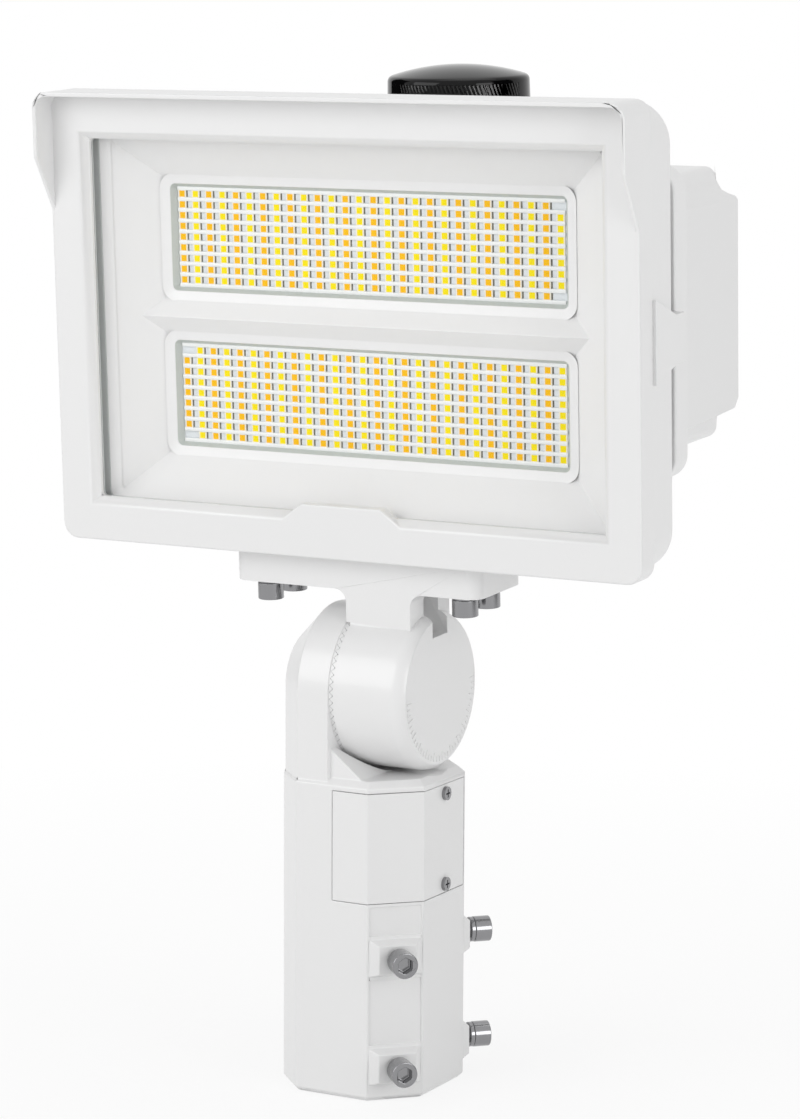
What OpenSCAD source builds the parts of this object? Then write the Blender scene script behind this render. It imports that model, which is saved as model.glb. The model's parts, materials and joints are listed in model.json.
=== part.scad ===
// LED flood light on a slip fitter with a toothed tilt knuckle and a twist-lock photocell.
// Millimetres. The origin is the centre of the pole socket's mouth, +Z is up, the lens faces -Y.
// Head parts are drawn in the head's own frame, whose origin is the centre of the tilt axis.

/* [Pole fitter] */
// Diameter of the pole socket's bore
socket_d = 62; // [58:0.5:64]
// Depth of the pole socket
socket_depth = 100; // [85:1:104]
// Width of the fitter body, left to right
body_width = 86; // [84:1:92]
// Depth of the fitter body, front to back
body_depth = 93; // [91:1:98]
// Height of the straight body below the shoulder
body_height = 175; // [172:0.5:176]
// Height of the sloping shoulder above the straight body
shoulder_rise = 3.5; // [1:0.5:4]
// Width of the shoulder's slope
shoulder_slope = 4; // [2:0.5:6]
// Corner cut of the body on the left side
cut_left = 18; // [12:1:20]
// Corner cut of the body on the right side, where the clamp bolts sit
cut_right = 23; // [21:1:24]
// Chamfer round the body's lower edge
foot_chamfer = 2.5; // [0.5:0.5:4]
// Radius of the cable hole above the socket
cable_hole_r = 12; // [6:1:16]

/* [Wiring pocket and cover] */
// Lower edge of the wiring cover
cover_low = 111; // [110:0.5:113]
// Height of the wiring cover
cover_height = 61; // [57:1:62]
// Left edge of the cover on the front face
cover_left = -1.9; // [-6:0.1:0]
// Rear edge of the cover on the right face
cover_back = 22.4; // [18:0.1:24]
// Thickness of the cover
cover_t = 3.2; // [2:0.1:4]
// Thickness of the cover's gasket
cover_gasket_t = 1; // [0.6:0.1:1.5]
// Width of the gasket between the cover's edge and the pocket's window
gasket_band = 7; // [5:0.5:8]
// Height from the cover's edge to its screws and pocket window
pocket_margin = 11; // [10:0.5:13]
// Wall left round the wiring pocket
pocket_wall = 8; // [6:0.5:10]
// Distance from the cover's lower and upper edges to its screws
cover_screw_inset = 5; // [4.5:0.1:5.5]
// Shank diameter of the cover screws
cover_screw_d = 4; // [3:0.1:4.2]
// Head height of the cover screws
cover_screw_head_h = 2; // [1.5:0.1:3]
// Head diameter of the cover screws
cover_screw_head_d = 7.6; // [6.5:0.1:8.4]
// Length of the cover screws below the head
cover_screw_length = 11; // [8:0.5:12]
// Depth of the shallow panels on the front right facet
facet_panel_depth = 0.8; // [0.3:0.1:1.5]
// Distance from that panel to the facet's side edges
facet_panel_side = 1.4; // [1.2:0.1:4]
// Distance from the facet's panels to the clamp pads and the wiring cover
facet_panel_gap = 2; // [1.5:0.1:4]

/* [Clamp bolts] */
// Height of the lower clamp bolts
clamp_low = 19.5; // [17:0.5:22]
// Distance between the lower and upper clamp bolts
clamp_pitch = 61; // [45:1:64]
// Height of a clamp pad at its base
pad_base_height = 20.5; // [19:0.5:24]
// Width of a clamp pad at its top
pad_top_width = 21.7; // [18:0.5:26]
// Height of a clamp pad at its top
pad_top_height = 16; // [15:0.5:18]
// How far a clamp pad stands out of its facet
pad_rise = 5.6; // [3:0.2:7]
// Distance from a clamp pad's base to the facet's side edge
pad_side_room = 1.6; // [1.2:0.1:3]
// Distance from the socket's wall to the clamp bolts' tips
bolt_tip_room = 1.2; // [0.5:0.1:3]
// Thread showing between a clamp pad and its bolt's washer
clamp_thread_gap = 2.4; // [0:0.2:4]

/* [Large bolts] */
// Shank diameter of the clamp and flange bolts
bolt_d = 9.5; // [8:0.5:10]
// Head diameter of the clamp and flange bolts
bolt_head_d = 14.4; // [13.5:0.1:16]
// Head height of the clamp and flange bolts
bolt_head_h = 9.5; // [7:0.5:11]
// Step from their heads in to their washers, on the diameter
washer_step = 0.4; // [0:0.1:1]
// Width of the slot in a split washer
washer_slot = 1.2; // [0.6:0.1:2]
// Direction of that slot, degrees
washer_slot_angle = 35; // [0:5:90]
// Width across flats of their sockets
bolt_socket_af = 7.9; // [6:0.1:8.2]
// Thickness of their split washers
washer_t = 2.4; // [1.6:0.1:3]

/* [Knuckle] */
// Height of the tilt axis
pivot_h = 224; // [223:0.5:232]
// Forward lean of the head at rest, degrees
head_tilt = 3; // [0:0.5:10]
// Radius of the arm's disc
disc_r = 44.5; // [42:0.5:45]
// Outer face of the disc, to the right of the middle
disc_right = 40; // [37.5:0.5:42]
// Radius of the rounding at the disc's outer rim
disc_round = 10; // [8.5:0.5:14]
// Depth of that rounding, left to right
disc_round_depth = 8; // [3:0.5:8]
// Step from the disc's rim out to the ear's rim
ear_step = 0.5; // [0.3:0.1:2]
// Reach of the slanted webs between the ear and the platform
web_reach = 20; // [8:0.5:24]
// Height of those webs
web_rise = 16; // [8:0.5:20]
// Distance the ear's edge cone takes from its face
ear_cone = 18; // [8:1:18]
// Place of the toothed seam, left to right
seam_x = -4.4; // [-7:0.1:-2]
// Number of teeth round the seam
tooth_count = 72; // [36:36:72]
// Height of the teeth at their outer end
tooth_height = 2.2; // [1:0.1:2.4]
// Step from the disc's rim in to the teeth
tooth_step = 0.3; // [0.2:0.1:2]
// Depth of the teeth's root in each knuckle half
tooth_root = 0.3; // [0.2:0.1:0.6]
// Diameter of the recess round the pivot bolt's head
counterbore_d = 26; // [25:0.5:30]
// Depth the pivot bolt's head is sunk below the ear's face
pivot_sink = 1; // [0:0.1:3]
// Depth of the hollow inside each knuckle half
hollow_depth = 15; // [8:0.5:18]
// Inner radius of the toothed ring
tooth_inner_r = 30; // [28.5:0.5:36]
// Shank diameter of the pivot bolt
pivot_d = 12; // [10:0.5:14]
// Head diameter of the pivot bolt
pivot_head_d = 18; // [17:0.5:20]
// Outer diameter of the pivot bolt's washer
pivot_washer_d = 21; // [20.5:0.5:24]
// Width across flats of the pivot bolt's socket
pivot_socket_af = 9.9; // [8:0.1:10]
// Reach of the pivot bolt's thread into the arm, from the middle
pivot_thread = 28; // [22:0.5:34]
// Head height of the pivot bolt
pivot_head_h = 12; // [9:0.5:12.5]
// Place of the arm's wire way, right of the middle
wire_x = 16; // [12:0.5:18]
// Place of the arm's wire way, in front of the tilt axis
wire_front = 6; // [0:0.5:8]
// Distance from the ear's inner face to the wire way below it
ear_wire_depth = 8; // [7:0.5:12]
// Radius of the wire way through the knuckle's halves
knuckle_wire_r = 6; // [3:0.5:7]
// Outer radius of the hollow inside each knuckle half
knuckle_hollow_r = 26; // [20:0.5:27]
// Wall round the pivot bolt inside each hollow
pivot_boss_wall = 6; // [4:0.5:7]
// Right face of the neck between disc and flange
neck_right = 34.5; // [30:0.5:36]
// Back face of the neck
neck_back = 22; // [16:0.5:24]
// Room between the neck and the ear it passes over
neck_room = 0.6; // [0.4:0.1:2]
// Depth of the pocket in the neck's right side
neck_pocket_depth = 9; // [3:0.5:10]
// Front edge of that pocket, behind the tilt axis's plane
neck_pocket_front = -8; // [-12:0.5:0]
// Width of that pocket, from its front edge back to the neck's rear wall
neck_pocket_width = 17; // [12:0.5:20]
// Wall between that pocket and the flange
neck_pocket_roof = 4; // [3:0.5:8]
// Lower end of that pocket above the tilt axis
neck_pocket_low = 31; // [30:0.5:40]
// Radius of the fillets between the neck and the flange
arm_fillet = 7; // [2:0.5:8]
// Radius of the ring of degree ticks on the disc
dial_r = 39; // [34:0.5:39.5]
// How far the ticks stand out of the disc
dial_rise = 0.5; // [0.2:0.1:1]
// Number of degree ticks
dial_ticks_n = 37; // [5:1:37]
// Angle between two degree ticks
dial_step = 5; // [5:1:8]
// Width of a degree tick
tick_width = 0.7; // [0.4:0.1:1.2]
// Length of every third tick
tick_long = 5; // [3:0.5:7]
// Length of the other ticks
tick_short = 3; // [1.5:0.5:4.5]

/* [Flange] */
// Width of the arm's flange
flange_width = 152.5; // [147:0.5:158]
// Depth of the arm's flange, front to back
flange_depth = 54; // [50:0.5:58]
// Place of the flange's middle behind the tilt axis
flange_mid = 3.5; // [1:0.5:5]
// Thickness of the arm's flange
flange_t = 17.8; // [12:0.2:18]
// Corner radius of the flange
flange_corner = 8; // [3:0.5:12]
// Spacing of the flange bolts, left to right
flange_bolt_span = 122; // [118:1:126]
// Spacing of the flange bolts, front to back
flange_bolt_depth = 26; // [24:0.5:26]
// Thickness of the flange gasket
flange_gasket_t = 1; // [0.5:0.1:2]
// Clearance of the flange bolts in the flange, on the radius
bolt_pass = 0.4; // [0.2:0.1:0.8]
// How far the flange bolts reach into the housing's pad
flange_bolt_bite = 11; // [6:0.5:12]

/* [Front frame] */
// Height of the frame's lower edge above the tilt axis
frame_low = 76.3; // [76:0.1:82]
// Width of the front frame
frame_width = 358.6; // [352:0.2:366]
// Height of the front frame
frame_height = 250.7; // [246:0.1:256]
// Front face of the frame, in front of the tilt axis
frame_front = 36.8; // [35:0.1:40]
// Depth of the frame
frame_depth = 16; // [14:0.1:17]
// Corner radius of the frame
frame_corner = 9; // [4:0.5:14]
// Corner radius of the opening
opening_corner = 2.5; // [1:0.1:4]
// Border on each side of the opening
border_side = 22.95; // [22:0.05:25]
// Border above the opening
border_top = 26.5; // [25:0.1:28]
// Border below the opening
border_low = 24.5; // [23:0.1:26]
// Width of the sloping lip round the opening
lip_slope = 4; // [2:0.5:5]
// Depth of the sloping lip
lip_depth = 4.8; // [2:0.2:6]
// Thickness of the lip behind its slope
lip_t = 3; // [2:0.2:3.4]
// Width of the raised tab on the lower border
tab_width = 74; // [60:1:80]
// Top width of the raised tab
tab_top_width = 49; // [40:1:56]
// How far the tab rises above the opening's lower edge
tab_rise = 5.2; // [3:0.2:6]

/* [Visor] */
// How far the visor stands out of the frame
visor_reach = 16.3; // [5:0.1:30]
// Thickness of the visor
visor_t = 2.35; // [1.5:0.05:4]
// Height of the wings at the visor's front edge
wing_front = 36; // [20:1:60]
// Extra height of the wings where they meet the frame
wing_slant = 30; // [10:1:60]

/* [Lens] */
// Thickness of the glass
glass_t = 4; // [3:0.2:5]
// Corner radius of the glass
glass_corner = 2; // [1:0.1:3]
// Overlap of the glass behind the lip
glass_overlap = 3.2; // [2.5:0.1:5]
// Thickness of the gasket in front of the glass
gasket_front_t = 1; // [0.5:0.1:1.6]
// Step from the opening's edge out to the gasket's front lip
gasket_step = 0.2; // [0:0.1:1]
// Width of the gasket beyond the glass's edge
gasket_edge_t = 2.5; // [1.5:0.1:3]

/* [Housing] */
// Inset of the housing's sides from the frame's
housing_inset = 1.3; // [0.5:0.1:4]
// Step from the frame's top down to the housing's top
housing_drop = 2.5; // [1:0.1:5]
// Corner radius of the housing
housing_corner = 23; // [14:1:24]
// Depth of the housing behind the frame
housing_depth = 25.3; // [25:0.1:27]
// Thickness of the housing's floor
floor_t = 2.6; // [2:0.1:3]
// Length of the cooling fins
fin_length = 11; // [10:0.2:13]
// Thickness of a cooling fin
fin_t = 2.5; // [1.5:0.1:3.5]
// Distance from the rear plate's upper and lower edges to the fins' ends
fin_end = 5; // [3:0.5:12]
// Spacing of the cooling fins
fin_pitch = 14; // [10:1:20]
// Diameter of the bosses round the board screws
board_boss_d = 8; // [6:0.5:8]
// Height of those bosses behind the housing's floor
board_boss_h = 3; // [2:0.5:5]
// Margin of the mounting pad round the flange's sides
pad_margin = 2; // [0:0.5:4]
// Height of the mounting pad over the flange
pad_height = 15; // [14:0.5:18]
// Depth of the sunk heads of the frame screws
frame_screw_sink = 13; // [6:0.5:18]
// How far the frame screws reach into the frame
frame_screw_bite = 8; // [5:0.5:10]
// Diameter of the round posts behind the housing
post_d = 14; // [12:0.5:16]
// Diameter of the wire post between the housing and the driver box
wire_post_d = 18; // [16:0.5:22]
// Height from the opening's edges to the side frame screws
frame_screw_drop = 20; // [15:1:40]
// Distance from the frame's side, lower and upper edges to the frame screws
frame_screw_inset = 10; // [9:0.5:11]
// Thickness of the side lugs beyond the housing
lug_t = 3; // [1:0.2:5]
// Reach of the side lugs inwards from the rear plate's side
lug_reach = 6; // [3:0.5:12]
// Rise of the side lugs above the frame's lower edge
lug_rise = 102.7; // [98:0.1:106]
// Height of the side lugs
lug_height = 45; // [40:0.5:50]
// Cut of the side lugs' rear end below
lug_cut_low = 8; // [2:0.5:12]
// Cut of the side lugs' rear end above
lug_cut_top = 10.5; // [2:0.5:16]

/* [Reflector] */
// Inset of the reflector's mouth from the opening's sides
mouth_inset_side = 5.35; // [4:0.05:8]
// Inset of the reflector's mouth from the opening's upper and lower edges
mouth_inset_end = 1.5; // [0.5:0.1:3]
// Width of the reflector's edge round its mouth
mouth_room = 1.6; // [0.8:0.1:2]
// Room between the reflector's edge and the housing
cavity_room = 0.4; // [0.3:0.1:1]
// Corner radius of the housing's cavity
cavity_corner = 3; // [2:0.5:4]
// Width of the reflector's foot beside a window
foot_side = 2.4; // [1.7:0.1:2.6]
// Width of the reflector's foot above and below a window
foot_end = 4; // [2:0.5:6]
// Width of each window over the chips
window_width = 244.4; // [241:0.2:247]
// Height of each window over the chips
window_height = 59; // [54:0.5:62]
// Distance between the window centres
window_pitch = 87.3; // [82:0.1:91]
// Corner radius of the windows
window_corner = 2; // [1:0.1:4]
// Depth of the reflector
reflector_depth = 19.5; // [17:0.1:20]
// Sheet thickness of the reflector
reflector_t = 1.6; // [1:0.1:1.8]

/* [LED boards] */
// Columns of chips on a board
chip_columns = 28; // [20:2:28]
// Rows of chips on a board
chip_rows = 9; // [5:2:9]
// Distance from a window's sides to the chips
chip_margin_x = 2.9; // [2:0.1:5]
// Distance from a window's upper and lower edges to the chips
chip_margin_z = 3.1; // [2.5:0.1:4]
// Side of a chip's square package
chip_side = 5; // [3:0.1:5.2]
// Height of a chip's package
chip_h = 0.8; // [0.5:0.1:1]
// Width of a board beside its window
board_margin_x = 8.8; // [8.5:0.1:11]
// Width of a board above and below its window
board_margin_z = 5.5; // [5:0.1:8]
// Thickness of a board
board_t = 1.6; // [1:0.1:2]
// Shank diameter of the board screws
board_screw_d = 3; // [2.5:0.1:3]
// Head diameter of the board screws
board_screw_head_d = 5; // [4.5:0.1:5.2]
// Head height of the board screws
board_screw_head_h = 1.2; // [1:0.1:1.3]
// Distance from a board's sides to its screws
board_screw_inset = 3.2; // [3:0.1:3.4]

/* [Driver box] */
// Inset of the rear plate's sides from the housing's
plate_inset = 3; // [2:0.5:8]
// Rise of the rear plate's lower edge above the frame's lower edge
plate_rise = 45.8; // [42:0.1:50]
// Depth of the rear plate, front to back
plate_depth = 15.8; // [13:0.1:18]
// Corner radius of the rear plate
plate_corner = 13; // [6:1:16]
// Inset of the box's main body from the plate's sides
case_inset = 35; // [30:0.5:38]
// Step from the main body's sides to the upper block's
block_step = 2.5; // [0.5:0.5:6]
// Corner radius of the box's upper block
block_corner = 7; // [4.5:0.5:12]
// Depth of the box's upper block behind the rear plate
block_depth = 122.5; // [118:0.5:128]
// Inset of the block's lower edge from the plate's lower edge
block_low_inset = 1.2; // [1:0.1:4]
// Rise of the plate's upper edge above the upper block
block_top_inset = 12.3; // [10:0.1:16]
// Depth of the box's main body behind the rear plate
case_depth = 147.4; // [144:0.1:156]
// Inset of the main body's lower edge from the plate's lower edge
case_low_inset = 8.4; // [6:0.1:12]
// Rise of the main body's underside from front to back
case_draft = 6.5; // [0:0.5:8]
// Height of the main body's back face up to its shoulder
case_height = 120; // [116:1:122]
// Rounding of the main body's lower rear edge, as a chamfer
case_edge = 5; // [2:0.5:7]
// Height of the main body's sloping shoulder
shoulder_h = 12; // [8:0.5:13]
// Distance from the main body's back face to the shoulder's foot
shoulder_foot = 11; // [6:0.5:12]
// Distance from the upper block's back face to the shoulder's slope
shoulder_lip = 6; // [3:0.5:8]
// Rise of the upper block above the shoulder
block_rise = 7; // [5:0.5:10]
// Wall thickness of the box
box_wall = 4; // [3:0.2:5]
// Corner radius of the box's lid
lid_corner = 4; // [2:0.5:8]
// Thickness of the box's lid
lid_t = 4.5; // [3:0.1:5]
// Distance from the lid's edges to its screws
lid_screw_inset = 5; // [4.5:0.1:5.5]
// Thickness of the lid's gasket
lid_gasket_t = 1.2; // [0.8:0.1:1.5]
// Inset of the lid from the main body's outline
lid_inset = 8; // [6:0.5:9]
// Width of the ledge behind the lid
lid_ledge = 10; // [9:0.5:12]
// Distance from the plate's upper and lower edges to the box screws
box_screw_inset = 18; // [16:0.5:24]
// Distance from the plate's side edges to the box screws
box_screw_side = 19; // [15:0.5:22]
// Head diameter of the small screws
screw_head_d = 8; // [6:0.2:8.4]
// Head height of the small screws
screw_head_h = 2.6; // [2:0.1:3]
// Shank diameter of the small screws
screw_d = 4; // [3:0.1:4.2]

/* [Driver and wiring parts] */
// Width of the LED driver
driver_width = 190; // [160:1:200]
// Height of the LED driver
driver_height = 62; // [50:1:66]
// Depth of the LED driver
driver_depth = 38; // [30:1:44]
// Thickness of the driver's mounting feet
driver_foot_t = 3; // [2:0.2:4]
// Width of the driver's mounting feet
driver_foot_w = 12; // [10:0.5:14]
// Height of the driver above the main body's underside
driver_rise = 20; // [16:0.5:22]
// Distance from the driver's upper and lower edges to its screws
driver_screw_inset = 8; // [6:0.5:14]
// How far the driver's screws reach into the plate
driver_screw_bite = 3; // [2:0.2:3.4]
// Width of the surge protector
surge_width = 48; // [36:1:54]
// Depth of the surge protector
surge_depth = 32; // [24:0.5:38]
// Height of the surge protector
surge_height = 36; // [24:0.5:44]
// Width of the terminal block
terminal_width = 56; // [40:1:60]
// Depth of the terminal block
terminal_depth = 18; // [12:0.5:24]
// Height of the terminal block
terminal_height = 20; // [12:0.5:22]
// Diameter of the terminal block's screw wells
terminal_well_d = 6; // [3:0.5:7]
// Depth of those wells
terminal_well_depth = 7; // [3:0.5:10]
// Gap between the driver and the parts beside it
part_gap = 6; // [4:0.5:8]

/* [Photocell] */
// Diameter of the photocell's cap at its foot
cap_d = 82; // [80:0.5:84]
// Gap between the cap's foot and the box
cap_gap = 3; // [1:0.5:5]
// Height of the photocell's top above the box
cap_height = 58; // [52:0.5:64]
// Narrowing of the cap from foot to shoulder, on the diameter
cap_taper = 2.4; // [0:0.2:4]
// Rise of the cap's domed top
dome_rise = 6.5; // [3:0.5:8]
// Wall thickness of the cap
cap_t = 2; // [1.6:0.1:2.6]
// Distance from the block's back face to the photocell's axis
cap_back_inset = 45.1; // [42:0.1:47]
// Radius of the receptacle's flange
receptacle_r = 34; // [30:0.5:36]
// Thickness of the receptacle's gasket
receptacle_gasket_t = 1; // [0.6:0.1:1.5]
// Height of the receptacle's flange
receptacle_h = 8; // [6:0.5:10]
// Radius of the receptacle's body below its flange
receptacle_body_r = 23.8; // [20:0.1:26]
// Length of that body below the blades' ends
receptacle_tail = 6; // [3:0.5:8]
// Diameter of the receptacle's screws
receptacle_screw_d = 3; // [2.5:0.1:3.2]
// Head diameter of the receptacle's screws
receptacle_screw_head_d = 6; // [5:0.1:6.2]
// Distance from the receptacle's edge to its screws
receptacle_screw_inset = 4.5; // [4:0.1:5]
// Depth of the sunk heads of the receptacle's screws
receptacle_sink = 2.6; // [2:0.1:3]
// Drop of those heads below the receptacle's face
receptacle_head_drop = 0.4; // [0.2:0.1:0.8]
// Length of the receptacle's screws
receptacle_screw_length = 11; // [10:0.5:12]
// Radius of the blades' circle
blade_circle_r = 16; // [13:0.5:17]
// Thickness of a contact blade
blade_t = 1.6; // [1.2:0.1:2]
// Length of a contact blade
blade_length = 13; // [10:0.5:15]
// Width of a contact blade, degrees round the circle
blade_angle = 28; // [20:1:34]
// Thickness of the photocell's base
cell_base_t = 4; // [3:0.5:6]
// Radius of the photocell's board
cell_board_r = 28; // [24:0.5:32]
// Thickness of the photocell's board
cell_board_t = 1.6; // [1:0.1:2]
// Length of the legs under that board
cell_leg_h = 8; // [5:0.5:10]
// Diameter of the circle of those legs
cell_leg_circle = 44; // [36:1:48]
// Radius of those legs
cell_leg_r = 2; // [1.5:0.1:3]
// Side of the light sensor
sensor_side = 8; // [5:0.5:9]
// Distance from the photocell's axis to the light sensor
sensor_shift = 18; // [8:0.5:22]
// Radius of the light sensor's post
sensor_post_r = 3; // [2:0.1:4]
// Turn from locked to free, degrees
twist_angle = 30; // [30:1:40]
// Height of the cap's band above the smoked window
cap_band = 3; // [1:0.5:5]
// Height of the smoked window
cap_window_h = 12; // [8:0.5:13]
// Width of the smoked window, degrees round the cap
cap_window_angle = 112; // [80:2:130]
// Direction the smoked window faces, degrees right of the front
cap_window_yaw = 28.6; // [0:0.2:40]

/* [Clearances] */
// Running clearance of the pivot bolt in the ear, on the radius
pivot_fit = 0.05; // [0.02:0.01:0.1]
// Gap between the two toothed rings and beside the pivot washer
tooth_gap = 0.2; // [0.1:0.05:0.4]
// Clearance round the heads of the sunk frame screws, on the radius
head_pass = 0.5; // [0.2:0.1:0.8]
// Clearance of a screw in its hole, on the radius
screw_fit = 0.05; // [0.02:0.01:0.1]
// Seam round the wiring cover and the lid
seam_gap = 0.3; // [0.2:0.05:0.6]
// Room between the arm's disc and the fitter below it
disc_room = 2.2; // [1:0.1:2.4]
// Clearance of the receptacle's body in the box, on the radius
receptacle_room = 0.7; // [0.4:0.1:1]
// Clearance of its gasket and round its screw heads, on the radius
receptacle_pass = 0.2; // [0.1:0.1:0.5]
// Gap between the photocell's base and its cap
cap_fit = 0.1; // [0.05:0.01:0.2]
// Gap round the smoked window
window_fit = 0.05; // [0.02:0.01:0.1]
// Gap between moving photocell parts and the receptacle
twist_gap = 0.4; // [0.3:0.05:0.6]

/* [Hidden] */
$fn = 48;
eps = 0.01;
far = 500;
cut_shrink = 2 - sqrt(2);

body_half_w = body_width / 2;
body_half_d = body_depth / 2;
platform_h = body_height + shoulder_rise;
facet_w = cut_right * sqrt(2);
facet_x = body_half_w - cut_right / 2;
facet_y = body_half_d - cut_right / 2;
facet_shift = (facet_x - facet_y) / sqrt(2);
facet_dist = (facet_x + facet_y) / sqrt(2);
cover_top = cover_low + cover_height;
pocket_low = cover_low + pocket_margin;
pocket_high = cover_top - pocket_margin;
bolt_tip = socket_d / 2 + bolt_tip_room;

tooth_outer_r = disc_r - tooth_step;
ear_r = disc_r + ear_step;
ear_left = body_half_w;
ear_cone_r = ear_r - ear_cone;
ear_face = seam_x - tooth_height / 2 - tooth_root;
disc_face = seam_x + tooth_height / 2 + tooth_root;
ear_seat = ear_left - pivot_head_h - washer_t - tooth_gap - pivot_sink;
boss_r = pivot_d / 2 + pivot_boss_wall;
ear_wire_x = ear_face - ear_wire_depth;

flange_half_w = flange_width / 2;
flange_front = flange_mid - flange_depth / 2;
flange_back = flange_mid + flange_depth / 2;
flange_top = frame_low - flange_gasket_t;
flange_low = flange_top - flange_t;
neck_left = ear_face + 0.5;

frame_half_w = frame_width / 2;
frame_top = frame_low + frame_height;
frame_back = -frame_front + frame_depth;
wing_low = frame_top - wing_front - wing_slant;
opening_half_w = frame_half_w - border_side;
opening_height = frame_height - border_low - border_top;
opening_low = frame_low + border_low;
opening_top = opening_low + opening_height;
opening_mid = (opening_low + opening_top) / 2;
lip_front = -frame_front + lip_depth;
lip_back = lip_front + lip_t;
glass_front = lip_back + gasket_front_t;
glass_back = glass_front + glass_t;
glass_half_w = opening_half_w + glass_overlap;
glass_low = opening_low - glass_overlap;
glass_top = opening_top + glass_overlap;

housing_half_w = frame_half_w - housing_inset;
housing_top = frame_top - housing_drop;
housing_back = frame_back + housing_depth;
floor_front = housing_back - floor_t;
mouth_half_w = opening_half_w - mouth_inset_side;
mouth_half_h = opening_height / 2 - mouth_inset_end;
cavity_half_w = mouth_half_w + mouth_room + cavity_room;
cavity_low = opening_mid - mouth_half_h - mouth_room - cavity_room;
cavity_top = opening_mid + mouth_half_h + mouth_room + cavity_room;
board_width = window_width + 2 * board_margin_x;
board_height = window_height + 2 * board_margin_z;
chip_pitch_x = (window_width - chip_side - 2 * chip_margin_x) / (chip_columns - 1);
chip_pitch_z = (window_height - chip_side - 2 * chip_margin_z) / (chip_rows - 1);
fin_back = housing_back + fin_length;
board_front = floor_front - board_t;
mouth_front = board_front - reflector_depth - reflector_t;
slope_x = (mouth_half_w - window_width / 2) / reflector_depth;
slope_z = (mouth_half_h - window_pitch / 2 - window_height / 2) / reflector_depth;

plate_half_w = housing_half_w - plate_inset;
plate_low = frame_low + plate_rise;
plate_front = fin_back + tooth_gap;
plate_back = plate_front + plate_depth;
case_low = plate_low + case_low_inset;
case_floor = case_low + case_draft;
case_top = case_floor + case_height;
shoulder_top = case_top + shoulder_h;
block_low = plate_low + block_low_inset;
block_top = shoulder_top + block_rise;
block_back = plate_back + block_depth;
plate_top = block_top + block_top_inset;
case_half_w = plate_half_w - case_inset;
block_half_w = case_half_w - block_step;
case_back = plate_back + case_depth;
lid_back = case_back;
lid_front = lid_back - lid_t;
ledge_back = lid_front - lid_gasket_t;
ledge_front = ledge_back - box_wall;
lid_half_w = case_half_w - lid_inset;
lid_low = case_floor + lid_inset;
lid_top = case_top - lid_inset;
tray_floor = plate_back - box_wall;
lug_low = frame_low + lug_rise;
lug_top = lug_low + lug_height;
lug_tip_low = lug_low + lug_cut_low;
lug_tip_top = lug_top - lug_cut_top;
fin_count = floor((plate_half_w - plate_corner) / fin_pitch);
dial_start = 90;
box_screw_x = plate_half_w - box_screw_side;
box_screw_zs = [plate_low + box_screw_inset, (plate_low + plate_top) / 2, plate_top - box_screw_inset];
frame_screw_x = frame_half_w - frame_screw_inset;
frame_screws_at = [
  for (sx = [-1, 1], z = [opening_low + frame_screw_drop, opening_mid, opening_top - frame_screw_drop])
    [sx * frame_screw_x, z],
  for (sx = [-1, 1], z = [frame_low + frame_screw_inset - 1, housing_top - frame_screw_inset])
    [sx * opening_half_w * 0.6, z]
];
lid_screws_at = [
  for (sx = [-1, 1], z = [lid_low + lid_screw_inset, (lid_low + lid_top) / 2, lid_top - lid_screw_inset])
    [sx * (lid_half_w - lid_screw_inset), z],
  for (sx = [-1, 1], z = [lid_low + lid_screw_inset, lid_top - lid_screw_inset])
    [sx * lid_half_w / 3, z]
];
board_mids = [opening_mid - window_pitch / 2, opening_mid + window_pitch / 2];
board_screws_at = [for (sx = [-1, 1], sz = [-1, 1])
  [sx * (board_width / 2 - board_screw_inset), sz * board_height / 4]];
flange_bolts_at = [for (sx = [-1, 1], sy = [-1, 1])
  [sx * flange_bolt_span / 2, flange_mid + sy * flange_bolt_depth / 2]];

driver_low = case_floor + driver_rise;
driver_top = driver_low + driver_height;
terminal_low = driver_top + part_gap;
wire_way_x = driver_width / 2 + part_gap + knuckle_wire_r;
terminal_mid = terminal_low + terminal_height / 2;

cell_y = block_back - cap_back_inset;
receptacle_screw_x = receptacle_r - receptacle_screw_inset;
cap_r = cap_d / 2;
cap_low = block_top + cap_gap;
cap_top = block_top + cap_height;
cap_shoulder = cap_top - dome_rise;
receptacle_top = block_top + receptacle_gasket_t + receptacle_h;
cell_base_low = receptacle_top + twist_gap;
cell_window_low = cap_shoulder - cap_window_h - cap_band;
cell_board_low = cell_base_low + cell_base_t + cell_leg_h;
blade_step = 120;

// Shared shapes

// Places its children in the leaning head
module on_head() translate([0, 0, pivot_h]) rotate([head_tilt, 0, 0]) children();

// Rounded rectangle, symmetric left to right, between two heights
module round_rect(half_w, low, high, r) {
  translate([-half_w + r, low]) square([2 * (half_w - r), high - low]);
  translate([-half_w, low + r]) square([2 * half_w, high - low - 2 * r]);
  for (x = [r - half_w, half_w - r], z = [low + r, high - r]) translate([x, z]) circle(r);
}

// Slab standing in the XZ plane between two Y values
module slab_y(half_w, low, high, r, front, back) {
  translate([0, back, 0]) rotate([90, 0, 0])
    linear_extrude(back - front) round_rect(half_w, low, high, r);
}

// Shape drawn as (y, z) points and carried from one X to another
module along_x(left, right) {
  translate([left, 0, 0]) rotate([90, 0, 90]) linear_extrude(right - left) children();
}

// Shape drawn as (x, z) points and carried from front to back
module along_y(front, back) {
  translate([0, back, 0]) rotate([90, 0, 0]) linear_extrude(back - front) children();
}

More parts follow.
